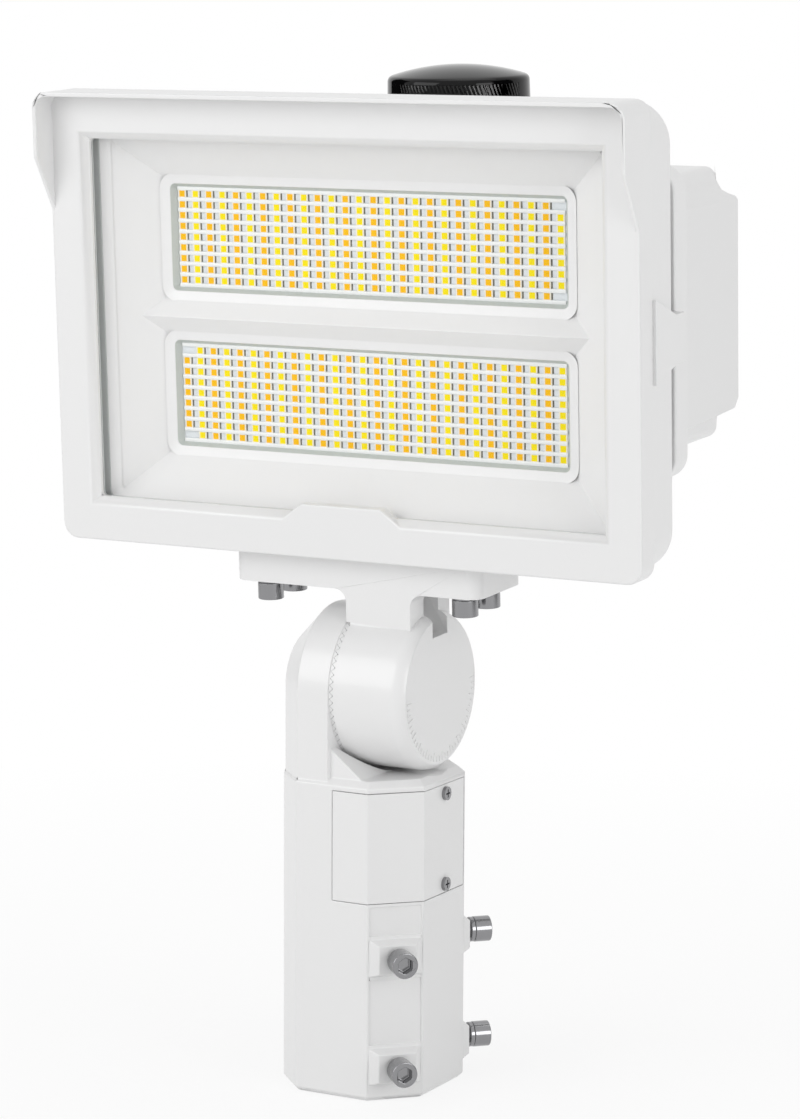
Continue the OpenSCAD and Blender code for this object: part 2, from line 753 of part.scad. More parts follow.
// Rectangular funnel that widens towards the front
module funnel(mid, half_w, half_h, back, depth, grow_x, grow_z) {
  intersection() {
    translate([0, 0, mid - far]) linear_extrude(2 * far) polygon([
      [-half_w, back], [half_w, back],
      [half_w + grow_x * depth, back - depth], [-half_w - grow_x * depth, back - depth]
    ]);
    along_x(-far, far) polygon([
      [back, mid - half_h], [back, mid + half_h],
      [back - depth, mid + half_h + grow_z * depth], [back - depth, mid - half_h - grow_z * depth]
    ]);
  }
}

// Bolt along Z: its head stands on z = 0 and its shank goes down
module socket_bolt(d, head_d, head_h, length, socket_af) {
  difference() {
    union() {
      cylinder(h = head_h, r = head_d / 2);
      translate([0, 0, -length]) cylinder(h = length + eps, r = d / 2);
    }
    translate([0, 0, head_h / 2]) cylinder(h = head_h, r = socket_af / sqrt(3), $fn = 6);
  }
}

// Cross-recessed screw along Z, placed like the bolt
module cross_screw(d, head_d, head_h, length) {
  difference() {
    union() {
      cylinder(h = head_h, r = head_d / 2);
      translate([0, 0, -length]) cylinder(h = length + eps, r = d / 2);
    }
    for (a = [0, 90]) rotate([0, 0, a])
      translate([-head_d * 0.3, -head_d * 0.06, head_h * 0.4])
        cube([head_d * 0.6, head_d * 0.12, head_h]);
  }
}

// Split washer along Z with its slot at an angle
module split_washer(d, outer_d, t) {
  difference() {
    cylinder(h = t, r = outer_d / 2);
    translate([0, 0, -1]) cylinder(h = t + 2, r = d / 2 + screw_fit);
    rotate([0, 0, washer_slot_angle]) translate([0, -washer_slot / 2, -1])
      cube([outer_d, washer_slot, t + 2]);
  }
}

// Ring sector along Z between two angles, less than 180 degrees apart
module ring_sector(inner_r, outer_r, h, from, to) {
  mid = (from + to) / 2;
  reach = outer_r * 2;
  intersection() {
    difference() {
      cylinder(h = h, r = outer_r);
      translate([0, 0, -1]) cylinder(h = h + 2, r = inner_r);
    }
    linear_extrude(h) polygon([
      [0, 0], reach * [cos(from), sin(from)], reach * [cos(mid), sin(mid)], reach * [cos(to), sin(to)]
    ]);
  }
}

// Fitter

// Plan of the body, moved inwards by an inset
function body_plan(inset) =
  let (w = body_half_w - inset, d = body_half_d - inset)
  let (l = cut_left - inset * cut_shrink, r = cut_right - inset * cut_shrink)
  [[l - w, -d], [w - r, -d], [w, r - d], [w, d - r], [w - r, d], [l - w, d], [-w, d - l], [-w, l - d]];

// Column with the body's plan, moved inwards
module body_column(inset, low, high) {
  translate([0, 0, low]) linear_extrude(high - low) polygon(body_plan(inset));
}

// Space of the wiring cover, with a margin added all round
module cover_zone(margin) {
  translate([cover_left - margin, -far, cover_low - margin])
    cube([far, far + cover_back + margin, cover_height + 2 * margin]);
}

// Window between the wiring pocket and its cover
module pocket_zone() {
  translate([cover_left + gasket_band, -far, pocket_low])
    cube([far, far + cover_back - gasket_band, pocket_high - pocket_low]);
}

// Places its children on each cover screw, with Z out of the right face
module at_cover_screws() {
  for (z = [cover_low + cover_screw_inset, cover_top - cover_screw_inset])
    translate([body_half_w, 0, z]) rotate([0, 90, 0]) children();
}

// Places its children on each clamp bolt, with Z out of the facet
module at_clamp_bolts() {
  for (side = [-1, 1], z = [clamp_low, clamp_low + clamp_pitch])
    rotate([0, 0, side * 45]) translate([facet_dist, -side * facet_shift, z])
      rotate([0, 90, 0]) children();
}

// One sloping clamp pad, standing on z = 0
module clamp_pad() {
  hull() {
    translate([-pad_base_height / 2, pad_side_room - facet_w / 2, -2])
      cube([pad_base_height, facet_w - 2 * pad_side_room, 2]);
    translate([-pad_top_height / 2, -pad_top_width / 2, pad_rise - eps])
      cube([pad_top_height, pad_top_width, eps]);
  }
}

// Ring of radial teeth along Z: the teeth's mid height is z = 0 at the centre
module tooth_ring() {
  steps = 2 * tooth_count;
  base = -tooth_height;
  function spot(i, r, z) = [r * cos(i * 360 / steps), r * sin(i * 360 / steps), z];
  function crest(i, r) = (i % 2 == 0 ? 1 : -1) * tooth_height / 2 * r / tooth_outer_r;
  points = [
    for (i = [0 : steps - 1]) each [
      spot(i, tooth_inner_r, base), spot(i, tooth_outer_r, base),
      spot(i, tooth_outer_r, crest(i, tooth_outer_r)), spot(i, tooth_inner_r, crest(i, tooth_inner_r))
    ]
  ];
  faces = [
    for (i = [0 : steps - 1]) each [
      for (k = [0 : 3])
        let (n = (i + 1) % steps, m = (k + 1) % 4) [4 * i + k, 4 * i + m, 4 * n + m, 4 * n + k]
    ]
  ];
  polyhedron(points, faces);
}

// The ear is a cone-edged disc
module ear_disc() {
  rotate([0, 90, 0]) rotate_extrude() polygon([
    [0, -ear_left], [ear_cone_r, -ear_left], [ear_r, ear_cone - ear_left],
    [ear_r, ear_face], [0, ear_face]
  ]);
}

// The leg has the ear's middle section and runs down into the body
module ear_leg() {
  translate([0, 0, body_height - 1]) linear_extrude(pivot_h - body_height + 1) polygon([
    [-ear_left, -ear_cone_r], [ear_cone - ear_left, -ear_r], [ear_face, -ear_r],
    [ear_face, ear_r], [ear_cone - ear_left, ear_r], [-ear_left, ear_cone_r]
  ]);
}

// Slanted webs that carry the leg's inner face down to the platform
module ear_webs() {
  intersection() {
    along_y(-far, far) polygon([
      [ear_face - 1, platform_h - 1], [ear_face + web_reach, platform_h - 1],
      [ear_face + web_reach, platform_h], [ear_face, platform_h + web_rise],
      [ear_face - 1, platform_h + web_rise]
    ]);
    body_column(shoulder_slope, body_height, pivot_h);
  }
}

// Hollow inside a knuckle half, round the pivot bolt's boss
module knuckle_hollow(low, high) {
  translate([0, 0, low]) difference() {
    cylinder(h = high - low, r = knuckle_hollow_r);
    translate([0, 0, -1]) cylinder(h = high - low + 2, r = boss_r);
  }
}

// Shallow panels on the front right facet, between its pads and under the wiring cover
module facet_panels() {
  pad_reach = pad_base_height / 2 + facet_panel_gap;
  upper = clamp_low + clamp_pitch;
  cover_edge = cover_low - facet_panel_gap;
  for (span = [[clamp_low + pad_reach, upper - pad_reach], [upper + pad_reach, cover_edge]])
    rotate([0, 0, -45])
      translate([facet_dist - facet_panel_depth, facet_shift - facet_w / 2 + facet_panel_side, span[0]])
        cube([facet_panel_depth + 1, facet_w - 2 * facet_panel_side, span[1] - span[0]]);
}

module slip_fitter() color("White") {
  difference() {
    union() {
      hull() {
        body_column(foot_chamfer, 0, eps);
        body_column(0, foot_chamfer, body_height);
        body_column(shoulder_slope, platform_h - eps, platform_h);
      }
      translate([0, 0, pivot_h]) ear_disc();
      ear_leg();
      ear_webs();
      at_clamp_bolts() clamp_pad();
    }
    translate([0, 0, -1]) cylinder(h = socket_depth + 1, r = socket_d / 2);
    translate([0, 0, socket_depth - 1])
      cylinder(h = pocket_low - socket_depth + 2, r = cable_hole_r);
    body_column(pocket_wall, pocket_low, pocket_high);
    intersection() {
      difference() {
        body_column(-1, cover_low - 1, cover_top + 1);
        body_column(cover_t + cover_gasket_t, cover_low - 2, cover_top + 2);
      }
      cover_zone(seam_gap);
    }
    intersection() {
      body_column(-1, pocket_low, pocket_high);
      pocket_zone();
    }
    at_cover_screws() translate([0, 0, -cover_screw_length - 1])
      cylinder(h = cover_screw_length + 2, r = cover_screw_d / 2 + screw_fit);
    at_clamp_bolts() translate([0, 0, -facet_dist])
      cylinder(h = facet_dist + pad_rise + 1, r = bolt_d / 2 + screw_fit);
    facet_panels();
    translate([0, 0, pivot_h]) {
      translate([ear_face, 0, 0]) rotate([0, 90, 0]) cylinder(h = far, r = disc_r + disc_room);
      rotate([0, 90, 0]) knuckle_hollow(ear_face - hollow_depth, ear_face + 1);
      rotate([0, -90, 0]) translate([0, 0, ear_seat]) cylinder(h = ear_left, r = counterbore_d / 2);
      rotate([0, -90, 0]) cylinder(h = ear_left, r = pivot_d / 2 + pivot_fit);
    }
    translate([ear_wire_x, 0, pocket_high - 1])
      cylinder(h = pivot_h - pocket_high - boss_r - 3, r = knuckle_wire_r);
  }
  translate([seam_x, 0, pivot_h]) rotate([0, 90, 0]) tooth_ring();
}

module cover_gasket() color("DimGray") {
  difference() {
    intersection() {
      difference() {
        body_column(cover_t, cover_low - 1, cover_top + 1);
        body_column(cover_t + cover_gasket_t, cover_low - 2, cover_top + 2);
      }
      cover_zone(-1);
    }
    pocket_zone();
    at_cover_screws() translate([0, 0, -cover_screw_length])
      cylinder(h = cover_screw_length, r = cover_screw_d / 2 + screw_fit);
  }
}

module wiring_cover() color("White") {
  difference() {
    intersection() {
      difference() {
        body_column(0, cover_low - 1, cover_top + 1);
        body_column(cover_t, cover_low - 2, cover_top + 2);
      }
      cover_zone(0);
    }
    at_cover_screws() translate([0, 0, -cover_screw_length])
      cylinder(h = cover_screw_length + 1, r = cover_screw_d / 2 + screw_fit);
  }
}

module cover_screws() color("Silver") {
  at_cover_screws()
    cross_screw(cover_screw_d, cover_screw_head_d, cover_screw_head_h, cover_screw_length);
}

module clamp_washers() color("Silver") {
  at_clamp_bolts() translate([0, 0, pad_rise + clamp_thread_gap])
    split_washer(bolt_d, bolt_head_d - washer_step, washer_t);
}

module clamp_bolts() color("Silver") {
  head_at = pad_rise + clamp_thread_gap + washer_t;
  at_clamp_bolts() translate([0, 0, head_at])
    socket_bolt(bolt_d, bolt_head_d, bolt_head_h, facet_dist + head_at - bolt_tip, bolt_socket_af);
}

// Knuckle arm

// Degree ticks on the disc's outer face, standing proud of it
module dial_ticks() {
  for (i = [0 : dial_ticks_n - 1])
    let (length = i % 3 == 0 ? tick_long : tick_short)
      rotate([dial_start + i * dial_step, 0, 0])
        translate([disc_right - 1, -tick_width / 2, dial_r - length])
          cube([1 + dial_rise, tick_width, length]);
}

module knuckle_arm() color("White") {
  on_head() {
    difference() {
      union() {
        rotate([0, 90, 0]) rotate_extrude() disc_profile();
        translate([neck_left, flange_front, 0])
          cube([neck_right - neck_left, neck_back - flange_front, flange_low + 1]);
        arm_fillets();
        translate([0, 0, flange_low]) linear_extrude(flange_t)
          round_rect(flange_half_w, flange_front, flange_back, flange_corner);
        dial_ticks();
      }
      translate([neck_left - 1, 0, 0]) rotate([0, 90, 0])
        cylinder(h = disc_face - neck_left + 1, r = ear_r + neck_room);
      translate([neck_right - neck_pocket_depth, neck_pocket_front, neck_pocket_low])
        cube([far, neck_pocket_width, flange_low - neck_pocket_roof - neck_pocket_low]);
      rotate([0, 90, 0]) knuckle_hollow(disc_face - 1, disc_face + hollow_depth);
      rotate([0, 90, 0]) translate([0, 0, disc_face - 1])
        cylinder(h = pivot_thread - disc_face + 1, r = pivot_d / 2 + screw_fit);
      translate([wire_x, -wire_front, boss_r + 4]) cylinder(h = far, r = knuckle_wire_r);
      for (at = flange_bolts_at) translate([at[0], at[1], flange_low - 1])
        cylinder(h = flange_t + 2, r = bolt_d / 2 + bolt_pass);
    }
    rotate([-head_tilt, 0, 0]) translate([seam_x + tooth_gap, 0, 0]) rotate([0, 90, 0])
      rotate([180, 0, 180 / tooth_count]) tooth_ring();
  }
}

// Half section of the disc, with its rim rounded on the outer side
module disc_profile() {
  round_start = disc_right - disc_round_depth;
  translate([0, disc_face]) square([disc_r, round_start - disc_face]);
  intersection() {
    translate([0, round_start - 1]) square([disc_r, disc_round_depth + 1]);
    union() {
      translate([0, round_start - 1]) square([disc_r - disc_round, disc_round_depth + 1]);
      translate([disc_r - disc_round, round_start]) circle(disc_round);
    }
  }
}

// Concave fillets between the neck and the flange
module arm_fillets() {
  along_y(flange_front, neck_back) difference() {
    translate([neck_left - arm_fillet, flange_low - arm_fillet])
      square([neck_right - neck_left + 2 * arm_fillet, arm_fillet + 1]);
    for (x = [neck_left - arm_fillet, neck_right + arm_fillet])
      translate([x, flange_low - arm_fillet]) circle(arm_fillet);
  }
}

module pivot_washer() color("Silver") {
  on_head() translate([-ear_seat - tooth_gap, 0, 0]) rotate([0, -90, 0])
    split_washer(pivot_d, pivot_washer_d, washer_t);
}

module pivot_bolt() color("Silver") {
  on_head() translate([-ear_seat - tooth_gap - washer_t, 0, 0]) rotate([0, -90, 0])
    socket_bolt(pivot_d, pivot_head_d, pivot_head_h,
      pivot_thread + ear_seat + tooth_gap + washer_t - 2, pivot_socket_af);
}

module flange_gasket() color("DimGray") {
  on_head() translate([0, 0, flange_top]) difference() {
    linear_extrude(flange_gasket_t)
      round_rect(flange_half_w - 1, flange_front + 1, flange_back - 1, flange_corner - 1);
    translate([wire_x, -wire_front, -1]) cylinder(h = 4, r = knuckle_wire_r);
    for (at = flange_bolts_at) translate([at[0], at[1], -1]) cylinder(h = 4, r = bolt_d / 2 + bolt_pass);
  }
}

module flange_washers() color("Silver") {
  on_head() for (at = flange_bolts_at) translate([at[0], at[1], flange_low]) rotate([180, 0, 0])
    split_washer(bolt_d, bolt_head_d - washer_step, washer_t);
}

module flange_bolts() color("Silver") {
  on_head() for (at = flange_bolts_at) translate([at[0], at[1], flange_low - washer_t])
    rotate([180, 0, 0])
      socket_bolt(bolt_d, bolt_head_d, bolt_head_h,
        washer_t + flange_t + flange_gasket_t + flange_bolt_bite, bolt_socket_af);
}

// Front frame and lens

module front_frame() color("White") {
  on_head() {
    difference() {
      union() {
        difference() {
          slab_y(frame_half_w, frame_low, frame_top, frame_corner, -frame_front, frame_back);
          slab_y(opening_half_w, opening_low, opening_top, opening_corner,
            -frame_front - 1, frame_back + 1);
          funnel(opening_mid, opening_half_w, opening_height / 2, lip_front, lip_depth + 1,
            lip_slope / lip_depth, lip_slope / lip_depth);
        }
        along_y(-frame_front, lip_back) polygon([
          [-tab_width / 2, opening_low - lip_slope], [tab_width / 2, opening_low - lip_slope],
          [tab_top_width / 2, opening_low + tab_rise], [-tab_top_width / 2, opening_low + tab_rise]
        ]);
      }
      slab_y(glass_half_w + gasket_edge_t, glass_low - gasket_edge_t, glass_top + gasket_edge_t,
        glass_corner + gasket_edge_t, lip_back, frame_back + 1);
      for (at = frame_screws_at) translate([at[0], frame_back + 1, at[1]]) rotate([90, 0, 0])
        cylinder(h = frame_screw_bite + 2, r = screw_d / 2 + screw_fit);
    }
    intersection() {
      difference() {
        slab_y(frame_half_w, frame_low, frame_top, frame_corner, -frame_front - visor_reach, lip_front);
        slab_y(frame_half_w - visor_t, frame_low + visor_t, frame_top - visor_t,
          frame_corner - visor_t, -frame_front - visor_reach - 1, lip_front + 1);
      }
      along_x(-far, far) polygon([
        [-frame_front - visor_reach, frame_top + 1], [-frame_front - visor_reach, frame_top - wing_front],
        [-frame_front, wing_low], [lip_front, wing_low], [lip_front, frame_top + 1]
      ]);
    }
  }
}

// U-shaped gasket round the glass's edge
module lens_gasket() color("DimGray") {
  on_head() difference() {
    slab_y(glass_half_w + gasket_edge_t, glass_low - gasket_edge_t, glass_top + gasket_edge_t,
      glass_corner + gasket_edge_t, lip_back, frame_back);
    slab_y(glass_half_w, glass_low, glass_top, glass_corner, glass_front, glass_back);
    slab_y(opening_half_w + gasket_step, opening_low - gasket_step, opening_top + gasket_step,
      opening_corner, lip_back - 1, glass_front + eps);
    slab_y(cavity_half_w, cavity_low, cavity_top, cavity_corner, glass_back - eps, frame_back + 1);
  }
}

module lens_glass() color("LightCyan", 0.4) {
  on_head() slab_y(glass_half_w, glass_low, glass_top, glass_corner, glass_front, glass_back);
}

// Optics

// Both windows' funnels, made wider by a sheet thickness
module funnels(grow, extra) {
  for (mid = board_mids)
    funnel(mid, window_width / 2 + grow, window_height / 2 + grow, board_front - reflector_t + extra,
      reflector_depth + extra * 2, slope_x, slope_z);
}

// Slab with the reflector's outline, from its mouth back
module reflector_edge(back) {
  slab_y(mouth_half_w + mouth_room, opening_mid - mouth_half_h - mouth_room,
    opening_mid + mouth_half_h + mouth_room, 2, mouth_front, back);
}

module reflector() color("WhiteSmoke") {
  on_head() difference() {
    union() {
      intersection() {
        funnels(reflector_t, 0);
        reflector_edge(board_front);
      }
      reflector_edge(mouth_front + reflector_t);
      for (mid = board_mids)
        slab_y(window_width / 2 + foot_side, mid - window_height / 2 - foot_end,
          mid + window_height / 2 + foot_end, 2, board_front - reflector_t, board_front);
    }
    funnels(0, 0.5);
    for (mid = board_mids)
      slab_y(window_width / 2, mid - window_height / 2, mid + window_height / 2, window_corner,
        board_front - reflector_t - 1, board_front + 1);
  }
}

module led_board(mid) {
  on_head() difference() {
    slab_y(board_width / 2, mid - board_height / 2, mid + board_height / 2, 2, board_front, floor_front);
    for (at = board_screws_at) translate([at[0], floor_front + 1, mid + at[1]]) rotate([90, 0, 0])
      cylinder(h = board_t + 2, r = board_screw_d / 2 + screw_fit);
  }
}

module led_board_upper() color("White") led_board(board_mids[1]);

module led_board_lower() color("White") led_board(board_mids[0]);

// Every second column of chips: the corner chips at one side of each board are left out
module chips(parity) {
  on_head() for (b = [0, 1], c = [parity : 2 : chip_columns - 1], r = [0 : chip_rows - 1])
    if (!(c == (b == 1 ? chip_columns - 1 : 0) && (r == 0 || r == chip_rows - 1)))
      translate([
        (c - (chip_columns - 1) / 2) * chip_pitch_x - chip_side / 2,
        board_front - chip_h,
        board_mids[b] + (r - (chip_rows - 1) / 2) * chip_pitch_z - chip_side / 2
      ]) cube([chip_side, chip_h, chip_side]);
}

module led_chips_warm() color("Orange") chips(0);

module led_chips_cool() color("Gold") chips(1);

module board_screws() color("Silver") {
  on_head() for (mid = board_mids, at = board_screws_at)
    translate([at[0], board_front, mid + at[1]]) rotate([90, 0, 0])
      cross_screw(board_screw_d, board_screw_head_d, board_screw_head_h,
        board_t + floor_t + board_boss_h);
}

// Housing

module housing() color("White") {
  on_head() difference() {
    union() {
      slab_y(housing_half_w, frame_low, housing_top, housing_corner, frame_back, housing_back);
      translate([-flange_half_w - pad_margin, frame_back, frame_low])
        cube([flange_width + 2 * pad_margin, flange_back - frame_back, pad_height]);
      for (x = [-fin_count : fin_count])
        translate([x * fin_pitch - fin_t / 2, housing_back - 1, plate_low + fin_end])
          cube([fin_t, fin_length + 1, plate_top - plate_low - 2 * fin_end]);
      for (side = [-1, 1], z = box_screw_zs) translate([side * box_screw_x, fin_back, z])
        rotate([90, 0, 0]) cylinder(h = fin_length + 1, r = post_d / 2);
      translate([wire_way_x, fin_back, opening_mid]) rotate([90, 0, 0])
        cylinder(h = fin_length + 1, r = wire_post_d / 2);
      for (mid = board_mids, at = board_screws_at)
        translate([at[0], housing_back + board_boss_h, mid + at[1]])
          rotate([90, 0, 0]) cylinder(h = board_boss_h + 1, r = board_boss_d / 2);
      side_lugs();
    }
    slab_y(cavity_half_w, cavity_low, cavity_top, cavity_corner, frame_back - 1, floor_front);
    for (at = frame_screws_at) translate([at[0], housing_back + 1, at[1]]) rotate([90, 0, 0]) {
      cylinder(h = far, r = screw_d / 2 + screw_fit);
      cylinder(h = frame_screw_sink + 1, r = screw_head_d / 2 + head_pass);
    }
    for (side = [-1, 1], z = box_screw_zs) translate([side * box_screw_x, fin_back + 1, z])
      rotate([90, 0, 0]) cylinder(h = fin_length, r = screw_d / 2 + screw_fit);
    translate([wire_way_x, fin_back + 1, opening_mid]) rotate([90, 0, 0])
      cylinder(h = fin_length + floor_t + 2, r = knuckle_wire_r);
    for (mid = board_mids, at = board_screws_at)
      translate([at[0], housing_back + board_boss_h + 1, mid + at[1]])
        rotate([90, 0, 0]) cylinder(h = board_boss_h + floor_t + 3, r = board_screw_d / 2 + screw_fit);
    for (at = flange_bolts_at) translate([at[0], at[1], frame_low - 1])
      cylinder(h = flange_bolt_bite + 2, r = bolt_d / 2 + screw_fit);
    translate([wire_x, -wire_front, frame_low - 1])
      cylinder(h = cavity_low - frame_low + 2, r = knuckle_wire_r);
  }
}

// Lugs on the housing's sides that bridge the gap to the rear plate
module side_lugs() {
  for (side = [0, 1]) mirror([side, 0, 0])
    along_x(plate_half_w - lug_reach, housing_half_w + lug_t) polygon([
      [frame_back, lug_low], [frame_back, lug_top], [housing_back, lug_tip_top],
      [fin_back, lug_tip_top], [fin_back, lug_tip_low], [housing_back, lug_tip_low]
    ]);
}

module frame_screws() color("Silver") {
  on_head() for (at = frame_screws_at)
    translate([at[0], housing_back - frame_screw_sink, at[1]]) rotate([-90, 0, 0])
      cross_screw(screw_d, screw_head_d, screw_head_h,
        housing_depth - frame_screw_sink + frame_screw_bite);
}

// Driver box

module driver_box() color("White") {
  on_head() difference() {
    union() {
      slab_y(plate_half_w, plate_low, plate_top, plate_corner, plate_front, plate_back);
      slab_y(block_half_w, block_low, block_top, block_corner, plate_back - 1, block_back);
      case_body();
    }
    difference() {
      slab_y(plate_half_w - box_wall, plate_low + box_wall, plate_top - box_wall,
        plate_corner - box_wall, plate_front - 1, tray_floor);
      for (side = [-1, 1], z = box_screw_zs) translate([side * box_screw_x, tray_floor + 1, z])
        rotate([90, 0, 0]) cylinder(h = plate_depth + 2, r = post_d / 2);
      translate([wire_way_x, tray_floor + 1, opening_mid]) rotate([90, 0, 0])
        cylinder(h = plate_depth + 2, r = wire_post_d / 2);
    }
    slab_y(case_half_w - box_wall, case_floor + box_wall, case_top - 2, 4, plate_back, ledge_front);
    slab_y(block_half_w - box_wall, block_low + box_wall, block_top - box_wall, 4,
      plate_back, block_back - box_wall);
    slab_y(lid_half_w - lid_ledge, lid_low + lid_ledge, lid_top - lid_ledge, 4,
      ledge_front - 1, case_back + 1);
    slab_y(lid_half_w + seam_gap, lid_low - seam_gap, lid_top + seam_gap, lid_corner + seam_gap,
      ledge_back, case_back + 1);
    for (at = lid_screws_at) translate([at[0], case_back, at[1]]) rotate([90, 0, 0])
      cylinder(h = case_back - ledge_front + 1, r = screw_d / 2 + screw_fit);
    for (side = [-1, 1], z = box_screw_zs) translate([side * box_screw_x, plate_back + 1, z])
      rotate([90, 0, 0]) cylinder(h = plate_depth + 2, r = screw_d / 2 + screw_fit);
    translate([wire_way_x, plate_back + 1, opening_mid]) rotate([90, 0, 0])
      cylinder(h = plate_depth + 2, r = knuckle_wire_r);
    translate([0, cell_y, block_top - box_wall - 1])
      cylinder(h = box_wall + 2, r = receptacle_body_r + receptacle_room);
    at_driver_screws() translate([0, 0, -driver_screw_bite - 1])
      cylinder(h = driver_screw_bite + 2, r = screw_d / 2 + screw_fit);
    at_receptacle_screws() translate([0, 0, -receptacle_screw_length])
      cylinder(h = receptacle_screw_length + 1, r = receptacle_screw_d / 2 + screw_fit);
  }
}

// Main body of the box with its sloping shoulder
module case_body() {
  intersection() {
    along_x(-case_half_w, case_half_w) polygon([
      [plate_back - 1, case_low], [case_back - case_edge, case_floor], [case_back, case_floor + case_edge],
      [case_back, case_top - 1], [case_back - 3, case_top + 1],
      [case_back - shoulder_foot, case_top + shoulder_h / 4],
      [block_back + shoulder_lip, case_top + shoulder_h / 2],
      [block_back + shoulder_lip / 3, shoulder_top], [plate_back - 1, shoulder_top]
    ]);
    along_y(plate_back - 1, case_back) polygon([
      [-case_half_w, case_low], [case_half_w, case_low], [case_half_w, case_top],
      [block_half_w - 1, shoulder_top], [1 - block_half_w, shoulder_top],
      [-case_half_w, case_top]
    ]);
  }
}

module box_screws() color("Silver") {
  on_head() for (side = [-1, 1], z = box_screw_zs) translate([side * box_screw_x, plate_back, z])
    rotate([-90, 0, 0]) cross_screw(screw_d, screw_head_d, screw_head_h, plate_depth + fin_length - 2);
}

module lid_gasket() color("DimGray") {
  on_head() difference() {
    slab_y(lid_half_w, lid_low, lid_top, lid_corner, ledge_back, lid_front);
    slab_y(lid_half_w - lid_ledge, lid_low + lid_ledge, lid_top - lid_ledge, 4,
      ledge_back - 1, lid_front + 1);
    for (at = lid_screws_at) translate([at[0], lid_front + 1, at[1]]) rotate([90, 0, 0])
      cylinder(h = lid_gasket_t + 2, r = screw_d / 2 + screw_fit);
  }
}

module box_lid() color("White") {
  on_head() difference() {
    slab_y(lid_half_w, lid_low, lid_top, lid_corner, lid_front, lid_back);
    for (at = lid_screws_at) translate([at[0], lid_back + 1, at[1]]) rotate([90, 0, 0])
      cylinder(h = lid_t + 2, r = screw_d / 2 + screw_fit);
  }
}

module lid_screws() color("Silver") {
  on_head() for (at = lid_screws_at) translate([at[0], lid_back, at[1]]) rotate([-90, 0, 0])
    cross_screw(screw_d, screw_head_d, screw_head_h, lid_t + lid_gasket_t + box_wall);
}

// Driver and wiring parts

// Places its children on each driver screw, with Z pointing into the box
module at_driver_screws() {
  for (side = [-1, 1], z = [driver_low + driver_screw_inset, driver_top - driver_screw_inset])
    translate([side * (driver_width - driver_foot_w) / 2, plate_back, z])
      rotate([-90, 0, 0]) children();
}

module led_driver() color("Silver") {
  on_head() difference() {
    union() {
      translate([driver_foot_w - driver_width / 2, plate_back, driver_low])
        cube([driver_width - 2 * driver_foot_w, driver_depth, driver_height]);
      translate([-driver_width / 2, plate_back, driver_low])
        cube([driver_width, driver_foot_t, driver_height]);
    }
    at_driver_screws() translate([0, 0, -1]) cylinder(h = driver_foot_t + 2, r = screw_d / 2 + screw_fit);
  }
}

module driver_screws() color("Silver") {
  on_head() at_driver_screws() translate([0, 0, driver_foot_t])
    cross_screw(screw_d, screw_head_d, screw_head_h, driver_foot_t + driver_screw_bite - 1);
}

module surge_protector() color("DimGray") {
  on_head() translate([-driver_width / 2, plate_back, driver_top + part_gap])
    cube([surge_width, surge_depth, surge_height]);
}

module terminal_block() color("Ivory") {
  on_head() difference() {
    translate([-terminal_width / 2, plate_back, terminal_low])
      cube([terminal_width, terminal_depth, terminal_height]);
    for (i = [-2 : 2])
      translate([i * terminal_width / 5.5, plate_back + terminal_depth + 1, terminal_mid])
        rotate([90, 0, 0]) cylinder(h = terminal_well_depth + 1, r = terminal_well_d / 2);
  }
}

// Photocell

// Places its children at the photocell's axis, with Z from the tilt axis
module on_cell() on_head() translate([0, cell_y, 0]) children();

// Places its children on each receptacle screw, with Z up
module at_receptacle_screws() {
  for (side = [-1, 1]) translate([side * receptacle_screw_x, cell_y, receptacle_top]) children();
}

// Blade positions round the photocell's axis, with room for a turn
module blades(margin, turn, low, high) {
  for (k = [0 : 2]) translate([0, 0, low])
    ring_sector(blade_circle_r - blade_t / 2 - margin, blade_circle_r + blade_t / 2 + margin,
      high - low, k * blade_step - blade_angle / 2 - margin * 3,
      k * blade_step + blade_angle / 2 + margin * 3 + turn);
}

module receptacle_gasket() color("DimGray") {
  on_cell() translate([0, 0, block_top]) difference() {
    cylinder(h = receptacle_gasket_t, r = receptacle_r);
    translate([0, 0, -1]) cylinder(h = 3, r = receptacle_body_r + receptacle_pass);
    for (side = [-1, 1]) translate([side * receptacle_screw_x, 0, -1])
      cylinder(h = 3, r = receptacle_screw_d / 2 + screw_fit);
  }
}

module photocell_receptacle() color("DimGray") {
  on_cell() difference() {
    union() {
      translate([0, 0, block_top + receptacle_gasket_t]) cylinder(h = receptacle_h, r = receptacle_r);
      translate([0, 0, receptacle_top - blade_length - receptacle_tail])
        cylinder(h = blade_length + receptacle_tail - receptacle_h + 1, r = receptacle_body_r);
    }
    blades(twist_gap, twist_angle, receptacle_top - blade_length - 1, receptacle_top + 1);
    for (side = [-1, 1]) translate([side * receptacle_screw_x, 0, 0]) {
      translate([0, 0, block_top - 1])
        cylinder(h = receptacle_h + 3, r = receptacle_screw_d / 2 + screw_fit);
      translate([0, 0, receptacle_top - receptacle_sink])
        cylinder(h = receptacle_sink + 1, r = receptacle_screw_head_d / 2 + receptacle_pass);
    }
  }
}

module receptacle_screws() color("Silver") {
  on_head() at_receptacle_screws() translate([0, 0, -receptacle_sink])
    cross_screw(receptacle_screw_d, receptacle_screw_head_d, receptacle_sink - receptacle_head_drop,
      receptacle_screw_length - receptacle_sink - 1);
}

module photocell_base() color("DimGray") {
  on_cell() {
    translate([0, 0, cell_base_low]) cylinder(h = cell_base_t, r = cap_r - cap_taper / 2 - cap_t - cap_fit);
    blades(0, 0, receptacle_top - blade_length, cell_base_low + 1);
  }
}

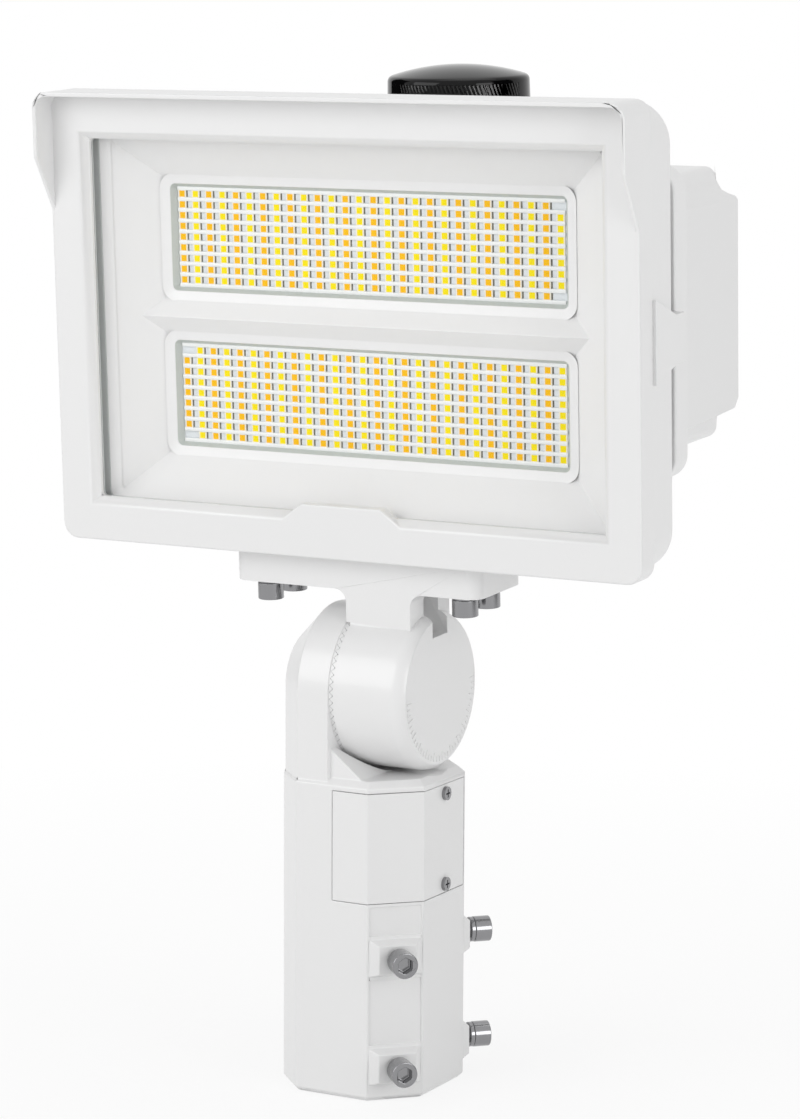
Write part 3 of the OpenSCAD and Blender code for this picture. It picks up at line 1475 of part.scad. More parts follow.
// Half section of the cap's outline, moved inwards
module cap_profile(inset, low) {
  top_r = cap_r - cap_taper / 2 - inset;
  dome_r = (top_r * top_r + dome_rise * dome_rise) / 2 / dome_rise;
  intersection() {
    polygon([[0, low], [cap_r - inset, low], [top_r, cap_top], [0, cap_top]]);
    translate([0, cap_top - inset - dome_r]) circle(dome_r, $fn = 180);
  }
}

// Thin cap, open below
module cap_shell() {
  rotate_extrude() difference() {
    cap_profile(0, cap_low);
    cap_profile(cap_t, cap_low - 1);
  }
}

// Sector of the cap's wall behind the smoked window
module window_zone(margin) {
  translate([0, 0, cell_window_low - margin])
    ring_sector(cap_r - cap_t - 4, cap_r + 2, cap_window_h + 2 * margin,
      cap_window_yaw - 90 - cap_window_angle / 2 - margin,
      cap_window_yaw - 90 + cap_window_angle / 2 + margin);
}

module photocell_cap() color("Black") {
  on_cell() difference() {
    cap_shell();
    window_zone(0);
  }
}

module photocell_window() color("DimGray") {
  on_cell() intersection() {
    cap_shell();
    window_zone(-window_fit);
  }
}

module photocell_board() color("DarkGreen") {
  on_cell() {
    translate([0, 0, cell_board_low]) cylinder(h = cell_board_t, r = cell_board_r);
    for (a = [60, 180, 300]) rotate([0, 0, a])
      translate([cell_leg_circle / 2, 0, cell_base_low + cell_base_t])
        cylinder(h = cell_leg_h + cell_board_t / 2, r = cell_leg_r);
  }
}

module photo_sensor() color("Gray") {
  on_cell() rotate([0, 0, cap_window_yaw - 90])
    translate([sensor_shift, 0, cell_board_low + cell_board_t]) {
      cylinder(h = cell_window_low - cell_board_low, r = sensor_post_r);
      translate([-sensor_side / 2, -sensor_side / 2, cell_window_low - cell_board_low])
        cube([sensor_side, sensor_side, sensor_side]);
    }
}

slip_fitter();
cover_gasket();
wiring_cover();
cover_screws();
clamp_washers();
clamp_bolts();
knuckle_arm();
pivot_washer();
pivot_bolt();
flange_gasket();
flange_washers();
flange_bolts();
front_frame();
lens_gasket();
lens_glass();
reflector();
led_board_upper();
led_board_lower();
led_chips_warm();
led_chips_cool();
board_screws();
housing();
frame_screws();
driver_box();
box_screws();
lid_gasket();
box_lid();
lid_screws();
led_driver();
driver_screws();
surge_protector();
terminal_block();
receptacle_gasket();
photocell_receptacle();
receptacle_screws();
photocell_base();
photocell_board();
photo_sensor();
photocell_cap();
photocell_window();
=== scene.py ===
import json
import math

import bmesh
import bpy
import numpy as np
from mathutils import Matrix, Vector
from mathutils.bvhtree import BVHTree


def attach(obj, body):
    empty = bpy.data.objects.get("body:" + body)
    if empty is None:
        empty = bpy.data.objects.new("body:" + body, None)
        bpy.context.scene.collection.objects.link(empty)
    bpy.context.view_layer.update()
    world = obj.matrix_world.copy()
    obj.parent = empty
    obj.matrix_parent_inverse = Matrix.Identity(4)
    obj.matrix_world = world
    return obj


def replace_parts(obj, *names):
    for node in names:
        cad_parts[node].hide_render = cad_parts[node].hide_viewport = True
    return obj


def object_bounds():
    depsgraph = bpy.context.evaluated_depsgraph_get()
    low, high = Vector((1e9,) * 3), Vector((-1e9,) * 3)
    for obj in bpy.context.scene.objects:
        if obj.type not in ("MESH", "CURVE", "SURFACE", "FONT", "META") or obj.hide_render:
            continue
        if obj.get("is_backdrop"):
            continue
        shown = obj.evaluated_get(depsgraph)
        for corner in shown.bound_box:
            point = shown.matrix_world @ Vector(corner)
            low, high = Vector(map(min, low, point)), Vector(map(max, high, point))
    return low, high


mm = 0.001

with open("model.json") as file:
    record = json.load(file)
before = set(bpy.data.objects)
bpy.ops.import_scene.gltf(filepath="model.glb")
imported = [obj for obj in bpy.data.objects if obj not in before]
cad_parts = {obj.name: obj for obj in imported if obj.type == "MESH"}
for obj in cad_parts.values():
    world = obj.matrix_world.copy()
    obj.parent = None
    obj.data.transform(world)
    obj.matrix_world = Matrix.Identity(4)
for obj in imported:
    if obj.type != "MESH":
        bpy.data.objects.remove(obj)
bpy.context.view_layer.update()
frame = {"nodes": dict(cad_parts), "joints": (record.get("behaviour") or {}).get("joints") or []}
print("frame loaded:", len(frame["nodes"]), "nodes")

# The head leans forward, so its pieces are worked out in its own upright frame on the tilt axis
joints = {joint["name"]: joint for joint in frame["joints"]}
tiltAxis = np.array(joints["knuckle_tilt"]["pos_m"], float)
headUp = np.array(joints["photocell_twist"]["axis"], float)
headBasis = np.array([[1.0, 0.0, 0.0], np.cross(headUp, [1.0, 0.0, 0.0]), headUp])


def headToRow(points):
    # Millimetres in the head's frame to metres in the row's frame: sum of each value times its axis, from
    # the tilt axis on
    return np.asarray(points, float) * mm @ headBasis + tiltAxis


def headBox(node):
    # Lowest and highest corner of a CAD node, in millimetres in the head's frame
    mesh = frame["nodes"][node].data
    co = np.empty(len(mesh.vertices) * 3)
    mesh.vertices.foreach_get("co", co)
    local = (co.reshape(-1, 3) - tiltAxis) @ headBasis.T / mm
    return local.min(0), local.max(0)


# Materials

def linearColor(hexColor):
    # sRGB hex to the linear values that Blender's sockets hold: v / 12.92 up to 0.04045, and above it
    # ((v + 0.055) / 1.055) to the power of 2.4
    rgb = np.array([int(hexColor[i:i + 2], 16) for i in (1, 3, 5)]) / 255
    rgb = np.where(rgb <= 0.04045, rgb / 12.92, ((rgb + 0.055) / 1.055) ** 2.4)
    return (*rgb.tolist(), 1.0)


def addNode(tree, kind, inputs=None, **settings):
    # Adds one node, sets its properties, and fills its inputs with values or links
    node = tree.nodes.new(kind)
    for key, value in settings.items():
        setattr(node, key, value)
    for key, value in (inputs or {}).items():
        if isinstance(value, bpy.types.NodeSocket):
            tree.links.new(value, node.inputs[key])
        else:
            node.inputs[key].default_value = value
    return node


def emptyMaterial(name):
    # New material without nodes, and its node tree
    material = bpy.data.materials.new(name)
    material.use_nodes = True
    material.node_tree.nodes.clear()
    return material, material.node_tree


# Shared by all finishes: scale of the broad noise, roughness of a coat, and the lowest roughness and
# bump height in millimetres that a shader gets
finishLook = {"broadScale": 9.0, "coatRoughness": 0.05, "leastRoughness": 0.01, "leastHeight": 0.0001}


def solidFinish(name, color, roughness, metallic=0.0, coat=0.0, speckle=0.04,
                grainSize=1.0, grainHeight=0.0, shade=0.02, specular=0.5):
    # Fine noise at grainSize mm varies roughness and height, broad noise at about 110 mm the tone
    material, tree = emptyMaterial(name)
    place = addNode(tree, "ShaderNodeTexCoord").outputs["Object"]
    grain = addNode(tree, "ShaderNodeTexNoise", {
        "Vector": place, "Scale": 1 / (grainSize * mm), "Detail": 2.0}).outputs["Fac"]
    broad = addNode(tree, "ShaderNodeTexNoise", {
        "Vector": place, "Scale": finishLook["broadScale"], "Detail": 1.0}).outputs["Fac"]
    smoothest = max(roughness - speckle, finishLook["leastRoughness"])
    rough = addNode(tree, "ShaderNodeMapRange", {
        "Value": grain, "To Min": smoothest, "To Max": roughness + speckle})
    value = addNode(tree, "ShaderNodeMapRange", {"Value": broad, "To Min": 1 - shade, "To Max": 1 + shade})
    tone = addNode(tree, "ShaderNodeHueSaturation", {
        "Color": linearColor(color), "Value": value.outputs["Result"]})
    bump = addNode(tree, "ShaderNodeBump", {
        "Height": grain, "Distance": max(grainHeight, finishLook["leastHeight"]) * mm,
        "Strength": 1.0 if grainHeight else 0.0})
    shader = addNode(tree, "ShaderNodeBsdfPrincipled", {
        "Base Color": tone.outputs["Color"], "Roughness": rough.outputs["Result"], "Metallic": metallic,
        "Specular IOR Level": specular, "Coat Weight": coat,
        "Coat Roughness": finishLook["coatRoughness"], "Normal": bump.outputs["Normal"]})
    addNode(tree, "ShaderNodeOutputMaterial", {"Surface": shader.outputs["BSDF"]})
    return material


def paneFinish(name, tint, ior, roughness, mirrorShare):
    # Thin pane: light goes straight through, and surfaces seen from outside mirror a share of what
    # Fresnel gives
    material, tree = emptyMaterial(name)
    clear = addNode(tree, "ShaderNodeBsdfTransparent", {"Color": linearColor(tint)})
    mirror = addNode(tree, "ShaderNodeBsdfGlossy", {"Roughness": roughness})
    facing = addNode(tree, "ShaderNodeFresnel", {"IOR": ior})
    leaving = addNode(tree, "ShaderNodeNewGeometry").outputs["Backfacing"]
    entering = addNode(tree, "ShaderNodeMath", {0: 1.0, 1: leaving}, operation="SUBTRACT")
    outer = addNode(tree, "ShaderNodeMath", {
        0: facing.outputs["Fac"], 1: entering.outputs[0]}, operation="MULTIPLY")
    share = addNode(tree, "ShaderNodeMath", {0: outer.outputs[0], 1: mirrorShare}, operation="MULTIPLY")
    mix = addNode(tree, "ShaderNodeMixShader", {
        0: share.outputs[0], 1: clear.outputs["BSDF"], 2: mirror.outputs["BSDF"]})
    addNode(tree, "ShaderNodeOutputMaterial", {"Surface": mix.outputs["Shader"]})
    return material


# What each finish is made of and gives the eye stands above it
finishes = {
    # die-cast aluminium under white gloss powder: soft wide glints and a faint orange peel
    "whiteCoat": solidFinish("WhitePowderCoat", "#E6E6E6", 0.3, coat=0.15, speckle=0.03, grainSize=1.5,
                             grainHeight=0.0016, shade=0.006),
    # turned stainless steel: sharp dark and bright bands
    "steel": solidFinish("StainlessSteel", "#929294", 0.16, metallic=1.0, speckle=0.05, grainSize=0.5,
                         shade=0.05),
    # moulded silicone: a dull pale line round the glass
    "silicone": solidFinish("PaleSilicone", "#C6C9C8", 0.6, grainSize=0.6, grainHeight=0.01),
    # moulded rubber: dull black lines between the castings; the same finish paints the shadow in the gap
    # between the toothed rings
    "rubberAndGapShadow": solidFinish("BlackRubber", "#1B1B1B", 0.62, grainSize=0.6, grainHeight=0.02),
    # moulded polycarbonate: cool white slopes with a soft sheen
    "reflector": solidFinish("WhitePolycarbonate", "#F1F1F1", 0.34, speckle=0.03, grainSize=3.0,
                             shade=0.006),
    # the same plastic inside the windows, darker as painted shade where the boards' shade falls
    "rimWallPaintedShade": solidFinish("PaintedShadePolycarbonate", "#C3C9C5", 0.4, speckle=0.03, grainSize=3.0, shade=0.006),
    # white solder mask: pale ground behind the chips, a little blue
    "board": solidFinish("WhiteSolderMask", "#E6EBEE", 0.42, grainSize=0.8),
    # moulded strips between the rows: the brightest white
    "strip": solidFinish("WhiteNylon", "#F4F6F5", 0.4, grainSize=0.8),
    # chip package: warm white rim round the colour
    "package": solidFinish("ChipPackage", "#F6F0DF", 0.35, grainSize=0.5),
    # silicone with orange phosphor, and with yellow phosphor
    "phosphorWarm": solidFinish("OrangePhosphor", "#FFC412", 0.5, grainSize=0.4, shade=0.05, specular=0.15),
    "phosphorCool": solidFinish("YellowPhosphor", "#FFEA0A", 0.5, grainSize=0.4, shade=0.05, specular=0.15),
    # painted shade: a dark upright strip beside each chip stands for the shadowed slot there
    "slotShadePaint": solidFinish("PaintedSlotShade", "#757166", 0.7, specular=0.2),
    # gloss moulded plastic: black with sharp reflections
    "blackGloss": solidFinish("GlossBlackPlastic", "#080809", 0.07, speckle=0.02, grainSize=8.0,
                              specular=0.2),
    # textured moulded plastic: dull black
    "blackMatte": solidFinish("BlackPlastic", "#1C1C1D", 0.5, grainSize=0.7, grainHeight=0.01),
    # moulded thermoplastic: warm and pale with a soft sheen
    "ivory": solidFinish("IvoryPlastic", "#D9D2BC", 0.45),
    # glass-fibre laminate under green solder mask
    "laminate": solidFinish("GreenLaminate", "#1D6B3C", 0.4, grainSize=0.6),
    # bent aluminium sheet: a satin metal case
    "aluminium": solidFinish("BareAluminium", "#B9BABC", 0.38, metallic=1.0, grainSize=0.5),
    # coated tempered glass: almost unseen
    "glass": paneFinish("ClearGlass", "#FEFEFE", ior=1.5, roughness=0.0, mirrorShare=0.3),
    # smoked acrylic: a grey pane, dark inside
    "smoked": paneFinish("SmokedAcrylic", "#56575B", ior=1.49, roughness=0.03, mirrorShare=1.0),
}
nodeFinish = {
    "slip_fitter": "whiteCoat", "wiring_cover": "whiteCoat", "knuckle_arm": "whiteCoat",
    "front_frame": "whiteCoat", "housing": "whiteCoat", "driver_box": "whiteCoat", "box_lid": "whiteCoat",
    "cover_gasket": "rubberAndGapShadow", "flange_gasket": "rubberAndGapShadow", "lens_gasket": "silicone", "lid_gasket": "rubberAndGapShadow",
    "receptacle_gasket": "rubberAndGapShadow", "lens_glass": "glass", "reflector": "reflector",
    "led_board_upper": "board", "led_board_lower": "board",
    "led_chips_warm": "phosphorWarm", "led_chips_cool": "phosphorCool",
    "led_driver": "aluminium", "surge_protector": "blackMatte", "terminal_block": "ivory",
    "photocell_receptacle": "blackMatte", "photocell_base": "blackMatte", "photocell_board": "laminate",
    "photo_sensor": "ivory", "photocell_cap": "blackGloss", "photocell_window": "smoked",
}
for nodeName, cadObject in frame["nodes"].items():
    cadObject.data.materials.clear()
    cadObject.data.materials.append(finishes[nodeFinish.get(nodeName, "steel")])
print("materials ready")


# Building pieces

def newObject(name, data):
    # New object with this data, linked to the scene
    made = bpy.data.objects.new(name, data)
    bpy.context.scene.collection.objects.link(made)
    return made


mergeDistance = 0.001  # points of a new piece closer than this in millimetres become one


def newPiece(name, verts, faces, body, materials, faceMaterial=None, sharpAngle=35):
    # Points in metres and quads become one closed piece: doubled points merged, faces turned outwards
    mesh = bpy.data.meshes.new(name)
    mesh.from_pydata(verts.reshape(-1, 3).tolist(), [], faces.tolist())
    for key in materials:
        mesh.materials.append(finishes[key])
    if faceMaterial is not None:
        mesh.polygons.foreach_set("material_index", np.asarray(faceMaterial, int))
    work = bmesh.new()
    work.from_mesh(mesh)
    bmesh.ops.remove_doubles(work, verts=work.verts, dist=mergeDistance * mm)
    bmesh.ops.recalc_face_normals(work, faces=work.faces)
    work.to_mesh(mesh)
    work.free()
    mesh.polygons.foreach_set("use_smooth", np.full(len(mesh.polygons), True))
    mesh.set_sharp_from_angle(angle=math.radians(sharpAngle))
    mesh.update()
    piece = newObject(name, mesh)
    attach(piece, body)
    return piece


def gridFaces(rows, columns, closeRows=False, closeColumns=False):
    # Quads between neighbouring points of a grid, joined round where a direction is closed
    row, column = np.meshgrid(
        np.arange(rows - (not closeRows)), np.arange(columns - (not closeColumns)), indexing="ij")
    row, column = row.ravel(), column.ravel()
    nextRow, nextColumn = (row + 1) % rows, (column + 1) % columns
    return np.stack([row * columns + column, row * columns + nextColumn,
                     nextRow * columns + nextColumn, nextRow * columns + column], axis=1)


def repeatedShape(template, faces, centres):
    # Every centre gets the template: point = centre + template point, faces shifted by the points before
    verts = (centres[:, None, :] + template[None]).reshape(-1, 3)
    shift = np.arange(len(centres))[:, None, None] * len(template)
    return verts, (faces[None] + shift).reshape(-1, faces.shape[1])


def blockTemplate(sizes):
    # Stack of rectangles, each (width, height, depth before the board), closed at both ends
    corners = np.array([[-0.5, -0.5], [0.5, -0.5], [0.5, 0.5], [-0.5, 0.5]])
    sizes = np.asarray(sizes, float)
    points = np.empty((len(sizes), 4, 3))
    points[:, :, 0] = corners[:, 0] * sizes[:, None, 0]
    points[:, :, 1] = -sizes[:, None, 2]
    points[:, :, 2] = corners[:, 1] * sizes[:, None, 1]
    last = 4 * (len(sizes) - 1)
    faces = np.concatenate([gridFaces(len(sizes), 4, closeColumns=True), [[0, 1, 2, 3]],
                            [[last + 3, last + 2, last + 1, last]]])
    return points.reshape(-1, 3), faces


def meshArray(collection, key, count=1, kind=float):
    # One property of all vertices, edges, loops or polygons as an array
    values = np.empty(len(collection) * count, kind)
    collection.foreach_get(key, values)
    return values.reshape(-1, count) if count > 1 else values


# Merging, joining and rounding of the castings' copies
roundingLook = {
    "merge": 0.004,  # points closer than this in millimetres become one
    "flat": 0.4,  # faces within this many degrees of each other become one
    "crossing": 0.85,  # edges that meet count as crossing below this cosine
    "share": 0.4,  # share of a crossing edge that a rounding may take up
    "sharp": 30,  # unrounded edges that bend more than this many degrees are shaded sharp
    "areaWeight": 100,  # how strongly large faces pull the shading flat
}
# Search for stray points on the rounded copies
strayLook = {
    "rounds": 7,  # most tries
    "reach": 0.8,  # farthest that a point may lie off the CAD surface, as a share of the rounding's width
    "facing": -0.7,  # a face is turned over when its normal's cosine to the CAD surface's is less
    "area": 6,  # smallest such face that counts, in square millimetres
    "room": 2,  # edges within this many reaches of a stray point are eased
    "ease": 0.4,  # what an eased edge's weight is multiplied by
    "least": 0.05,  # edges below this weight stay sharp
}


def roundingWeights(mesh, width, angle, inner):
    # Weight 1 for edges sharper than the angle, less where a crossing edge is too short for the full width.
    # Inner corners stay sharp unless they are asked for.
    points = meshArray(mesh.vertices, "co", 3)
    ends = meshArray(mesh.edges, "vertices", 2, np.int32)
    normals = meshArray(mesh.polygons, "normal", 3)
    loopFace = np.repeat(np.arange(len(mesh.polygons)), meshArray(mesh.polygons, "loop_total", 1, np.int32))
    order = np.argsort(meshArray(mesh.loops, "edge_index", 1, np.int32), kind="stable")
    pairs = loopFace[order].reshape(-1, 2)
    bend = np.degrees(np.arccos(np.clip((normals[pairs[:, 0]] * normals[pairs[:, 1]]).sum(1), -1, 1)))
    span = points[ends[:, 1]] - points[ends[:, 0]]
    length = np.linalg.norm(span, axis=1)
    heading = span / length[:, None]
    # Half-edges sorted by their vertex, so that edges meeting there lie next to each other
    corner = np.concatenate([ends[:, 0], ends[:, 1]])
    owner = np.tile(np.arange(len(ends)), 2)
    order = np.argsort(corner, kind="stable")
    corner, owner = corner[order], owner[order]
    room = np.full(len(ends), np.inf)
    for step in range(1, np.bincount(corner).max()):
        together = corner[step:] == corner[:-step]
        one, other = owner[step:][together], owner[:-step][together]
        crossing = np.abs((heading[one] * heading[other]).sum(1)) < roundingLook["crossing"]
        one, other = one[crossing], other[crossing]
        np.minimum.at(room, one, length[other])
        np.minimum.at(room, other, length[one])
    weight = np.where(bend > angle, np.clip(room * roundingLook["share"] / (width * mm), 0, 1), 0.0)
    if not inner:
        centres = meshArray(mesh.polygons, "center", 3)
        rising = ((centres[pairs[:, 1]] - centres[pairs[:, 0]]) * normals[pairs[:, 0]]).sum(1)
        weight[rising > 0] = 0.0
    return weight, bend


def calmStrays(piece, surface, weight, reach):
    # Finds rounded points that lie off the CAD surface or bound a face turned inside out, and makes the
    # edges near them sharper
    mesh = piece.data
    points = meshArray(mesh.vertices, "co", 3)
    ends = points[meshArray(mesh.edges, "vertices", 2, np.int32)]
    span = ends[:, 1] - ends[:, 0]
    for attempt in range(strayLook["rounds"]):
        mesh.attributes["bevel_weight_edge"].data.foreach_set("value", weight)
        mesh.update()
        rounded = piece.evaluated_get(bpy.context.evaluated_depsgraph_get()).to_mesh()
        finished = meshArray(rounded.vertices, "co", 3)
        away = np.array([surface.find_nearest(point)[3] for point in finished.tolist()])
        centres = meshArray(rounded.polygons, "center", 3)
        nearest = np.array([surface.find_nearest(centre)[1] for centre in centres.tolist()])
        facing = (nearest * meshArray(rounded.polygons, "normal", 3)).sum(1)
        area = meshArray(rounded.polygons, "area")
        turnedOver = np.flatnonzero((facing < strayLook["facing"]) & (area > strayLook["area"] * mm ** 2))
        corners = {vertex for k in turnedOver.tolist() for vertex in rounded.polygons[k].vertices}
        strays = sorted(corners | set(np.flatnonzero(away > reach).tolist()))
        if not strays:
            break
        for k in strays:
            # Nearest point of each edge: start + share * span, the share held between 0 and 1
            share = np.clip(((finished[k] - ends[:, 0]) * span).sum(1) / (span ** 2).sum(1), 0, 1)
            gap = np.linalg.norm(ends[:, 0] + share[:, None] * span - finished[k], axis=1)
            weight[gap < away[k] + strayLook["room"] * reach] *= strayLook["ease"]
        weight[weight < strayLook["least"]] = 0.0
    return len(strays)


def softenedCopy(node, name, body, width, segments, angle, inner=True, calm=True):
    # Copy of a CAD node: doubled points merged, flat triangles joined, sharp edges rounded
    mesh = frame["nodes"][node].data.copy()
    mesh.name = name
    work = bmesh.new()
    work.from_mesh(mesh)
    bmesh.ops.remove_doubles(work, verts=work.verts, dist=roundingLook["merge"] * mm)
    surface = BVHTree.FromBMesh(work)
    bmesh.ops.dissolve_limit(
        work, angle_limit=math.radians(roundingLook["flat"]), verts=work.verts, edges=work.edges)
    manySided = [face for face in work.faces if len(face.verts) > 4]
    bmesh.ops.triangulate(work, faces=manySided, ngon_method="EAR_CLIP")
    work.to_mesh(mesh)
    work.free()
    mesh.polygons.foreach_set("use_smooth", np.full(len(mesh.polygons), True))
    weight, bend = roundingWeights(mesh, width, angle, inner)
    mesh.attributes.new("bevel_weight_edge", "FLOAT", "EDGE")
    piece = newObject(name, mesh)
    bevel = piece.modifiers.new("roundedEdges", "BEVEL")
    bevel.width = width * mm
    bevel.segments = segments
    bevel.limit_method = "WEIGHT"
    bevel.use_clamp_overlap = False
    bevel.loop_slide = False
    bevel.miter_outer = "MITER_ARC"
    if calm:
        print(name, "strays left:", calmStrays(piece, surface, weight, strayLook["reach"] * width * mm))
    mesh.attributes["bevel_weight_edge"].data.foreach_set("value", weight)
    sharp = (weight < strayLook["least"]) & (bend > roundingLook["sharp"])
    mesh.attributes.new("sharp_edge", "BOOLEAN", "EDGE").data.foreach_set("value", sharp)
    normals = piece.modifiers.new("flatFaces", "WEIGHTED_NORMAL")
    normals.keep_sharp = True
    normals.mode = "FACE_AREA"
    normals.weight = roundingLook["areaWeight"]
    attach(piece, body)
    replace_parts(piece, node)


# Rounded castings and fasteners: width of the rounding in millimetres, for edges sharper than the angle in
# degrees. Inner says whether inner corners are rounded too, calm whether stray points are looked for.
softened = {
    "slip_fitter": {"name": "fitterCasting", "body": "fitter", "width": 0.6, "segments": 3, "angle": 24},
    "wiring_cover": {"name": "wiringCover", "body": "fitter", "width": 0.4, "segments": 2, "angle": 30},
    "knuckle_arm": {
        "name": "knuckleArm", "body": "head", "width": 0.4, "segments": 3, "angle": 35, "inner": False},
    "front_frame": {
        "name": "frontFrame", "body": "head", "width": 1.1, "segments": 4, "angle": 24, "inner": False},
    "housing": {
        "name": "heatSinkHousing", "body": "head", "width": 0.5, "segments": 3, "angle": 35, "inner": False},
    "driver_box": {
        "name": "driverBox", "body": "head", "width": 1.1, "segments": 3, "angle": 35, "inner": False},
    "box_lid": {"name": "boxLid", "body": "head", "width": 0.6, "segments": 2, "angle": 35},
    "reflector": {
        "name": "reflectorTray", "body": "head", "width": 0.35, "segments": 2, "angle": 20, "calm": False},
    "clamp_bolts": {"name": "clampBolts", "body": "fitter", "width": 0.5, "segments": 3, "angle": 50},
    "clamp_washers": {"name": "clampWashers", "body": "fitter", "width": 0.3, "segments": 2, "angle": 50},
    "flange_bolts": {"name": "flangeBolts", "body": "head", "width": 0.5, "segments": 3, "angle": 50},
    "flange_washers": {"name": "flangeWashers", "body": "head", "width": 0.3, "segments": 2, "angle": 50},
    "pivot_bolt": {"name": "pivotBolt", "body": "head", "width": 0.6, "segments": 3, "angle": 50},
}
for nodeName, look in softened.items():
    softenedCopy(nodeName, **look)
print("castings rounded")

# Painted shadow: the ribbon below stands for the shade in the gap between the toothed rings
# Dark ribbon in the gap between the two toothed rings, in millimetres: x lies along the tilt axis, the teeth
# have this height, and the radii are measured from the axis
seamLook = {"teeth": 72, "x": -4.4, "height": 2.2, "inner": 41.0, "outer": 44.1, "thickness": 0.3}
crest = np.arange(2 * seamLook["teeth"])
seamAngle = crest * np.pi / seamLook["teeth"]
crestSign = np.where(crest % 2 == 0, 1, -1)
seamInner, seamOuter = seamLook["inner"], seamLook["outer"]
ribbon = []
for radius, side in ((seamInner, -1), (seamOuter, -1), (seamOuter, 1), (seamInner, 1)):
    # x rises and falls from tooth to tooth in step with the radius, and y and z run round the axis
    x = (seamLook["x"] + crestSign * seamLook["height"] / 2 * radius / seamOuter
         + side * seamLook["thickness"] / 2)
    ribbon.append(np.stack([x, -radius * np.sin(seamAngle), radius * np.cos(seamAngle)], axis=1))
verts = np.concatenate(ribbon) * mm + tiltAxis
faces = gridFaces(4, len(crest), closeRows=True, closeColumns=True)
newPiece("toothShadow", verts, faces, "fitter", ["rubberAndGapShadow"])

# LED boards: rows and columns of chips, in millimetres
boardLook = {
    "columns": 28, "rows": 9,
    "package": 5.0, "chamfer": 0.15,  # side of the square packages and the chamfer round their fronts
    "phosphorSide": 3.4, "sunk": 0.1, "sunkTaper": 0.1,  # coloured square in a package
    "slotWidth": 0.65, "slotHeight": 3.4, "slotShift": 2.86,  # painted shade: dark upright strip beside a chip
    "slotEdge": 0.2, "slotDepth": 0.25, "slotTaper": 0.2,  # height of its sides and of its narrower front
    "stripHalfLength": 119.6, "stripHeight": 2.0, "stripLow": 0.8, "stripHigh": 1.2,  # strips between rows
    "stripEdge": 0.1, "lengthTaper": 0.2, "heightTaper": 0.3,  # chamfer of a strip's front
    "webHeight": 0.8, "webShorter": 0.4, "webLap": 0.05,  # narrow web under a strip
}
boards = [headBox(node) for node in ("led_board_lower", "led_board_upper")]
boardFront = boards[0][0][1]
boardMids = np.array([(low[2] + high[2]) / 2 for low, high in boards])
chipBoxes = [headBox(node) for node in ("led_chips_warm", "led_chips_cool")]
chipHeight = boardFront - chipBoxes[0][0][1]
chipLeft, chipRight = chipBoxes[0][0][0], chipBoxes[1][1][0]
chipLow, chipHigh = chipBoxes[0][0][2], chipBoxes[0][1][2]
columnSpan = chipRight - chipLeft - boardLook["package"]
rowSpan = chipHigh - chipLow - (boardMids[1] - boardMids[0]) - boardLook["package"]
pitchX, pitchZ = columnSpan / (boardLook["columns"] - 1), rowSpan / (boardLook["rows"] - 1)


def chipCentres(columns):
    # Centres on both boards: the upper lacks the two corner chips at its right, the lower those at its left
    lastColumn, lastRow = boardLook["columns"] - 1, boardLook["rows"] - 1
    board, column, row = (part.ravel() for part in np.meshgrid(
        [0, 1], columns, np.arange(boardLook["rows"]), indexing="ij"))
    corner = (column == np.where(board == 1, lastColumn, 0)) & ((row == 0) | (row == lastRow))
    board, column, row = board[~corner], column[~corner], row[~corner]
    # Point = (column from the middle * pitchX, board's front, board's middle + row from the middle * pitchZ)
    return np.stack([(column - lastColumn / 2) * pitchX, np.full(len(column), boardFront),
                     boardMids[board] + (row - lastRow / 2) * pitchZ], axis=1)


def chipPiece(name, first, phosphor, node):
    # A package with a chamfered front and a sunk coloured square, repeated over every second column
    side, square = boardLook["package"], boardLook["phosphorSide"]
    front, bottom = side - 2 * boardLook["chamfer"], square - boardLook["sunkTaper"]
    template, faces = blockTemplate([
        (side, side, 0), (side, side, chipHeight - boardLook["chamfer"]), (front, front, chipHeight),
        (square, square, chipHeight), (bottom, bottom, chipHeight - boardLook["sunk"])])
    centres = chipCentres(np.arange(first, boardLook["columns"], 2))
    verts, allFaces = repeatedShape(template, faces, centres)
    # Twelve quads of package, four of the sunk wall, the package's back, the coloured square
    which = np.tile(np.array([0] * 12 + [1] * 4 + [0, 1]), len(centres))
    piece = newPiece(name, headToRow(verts), allFaces, "head", ["package", phosphor], which, sharpAngle=20)
    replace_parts(piece, node)


chipPiece("ledChipsWarm", 0, "phosphorWarm", "led_chips_warm")
chipPiece("ledChipsCool", 1, "phosphorCool", "led_chips_cool")

# Painted shade: dark upright strips on the right of each chip stand for the shadowed slots there
slotWide, slotTall, slotTaper = boardLook["slotWidth"], boardLook["slotHeight"], boardLook["slotTaper"]
template, faces = blockTemplate([
    (slotWide, slotTall, 0.0), (slotWide, slotTall, boardLook["slotEdge"]),
    (slotWide - slotTaper, slotTall - slotTaper, boardLook["slotDepth"])])
slotCentres = chipCentres(np.arange(boardLook["columns"] - 1)) + [boardLook["slotShift"], 0.0, 0.0]
verts, faces = repeatedShape(template, faces, slotCentres)
newPiece("chipSlotShades", headToRow(verts), faces, "head", ["slotShadePaint"])

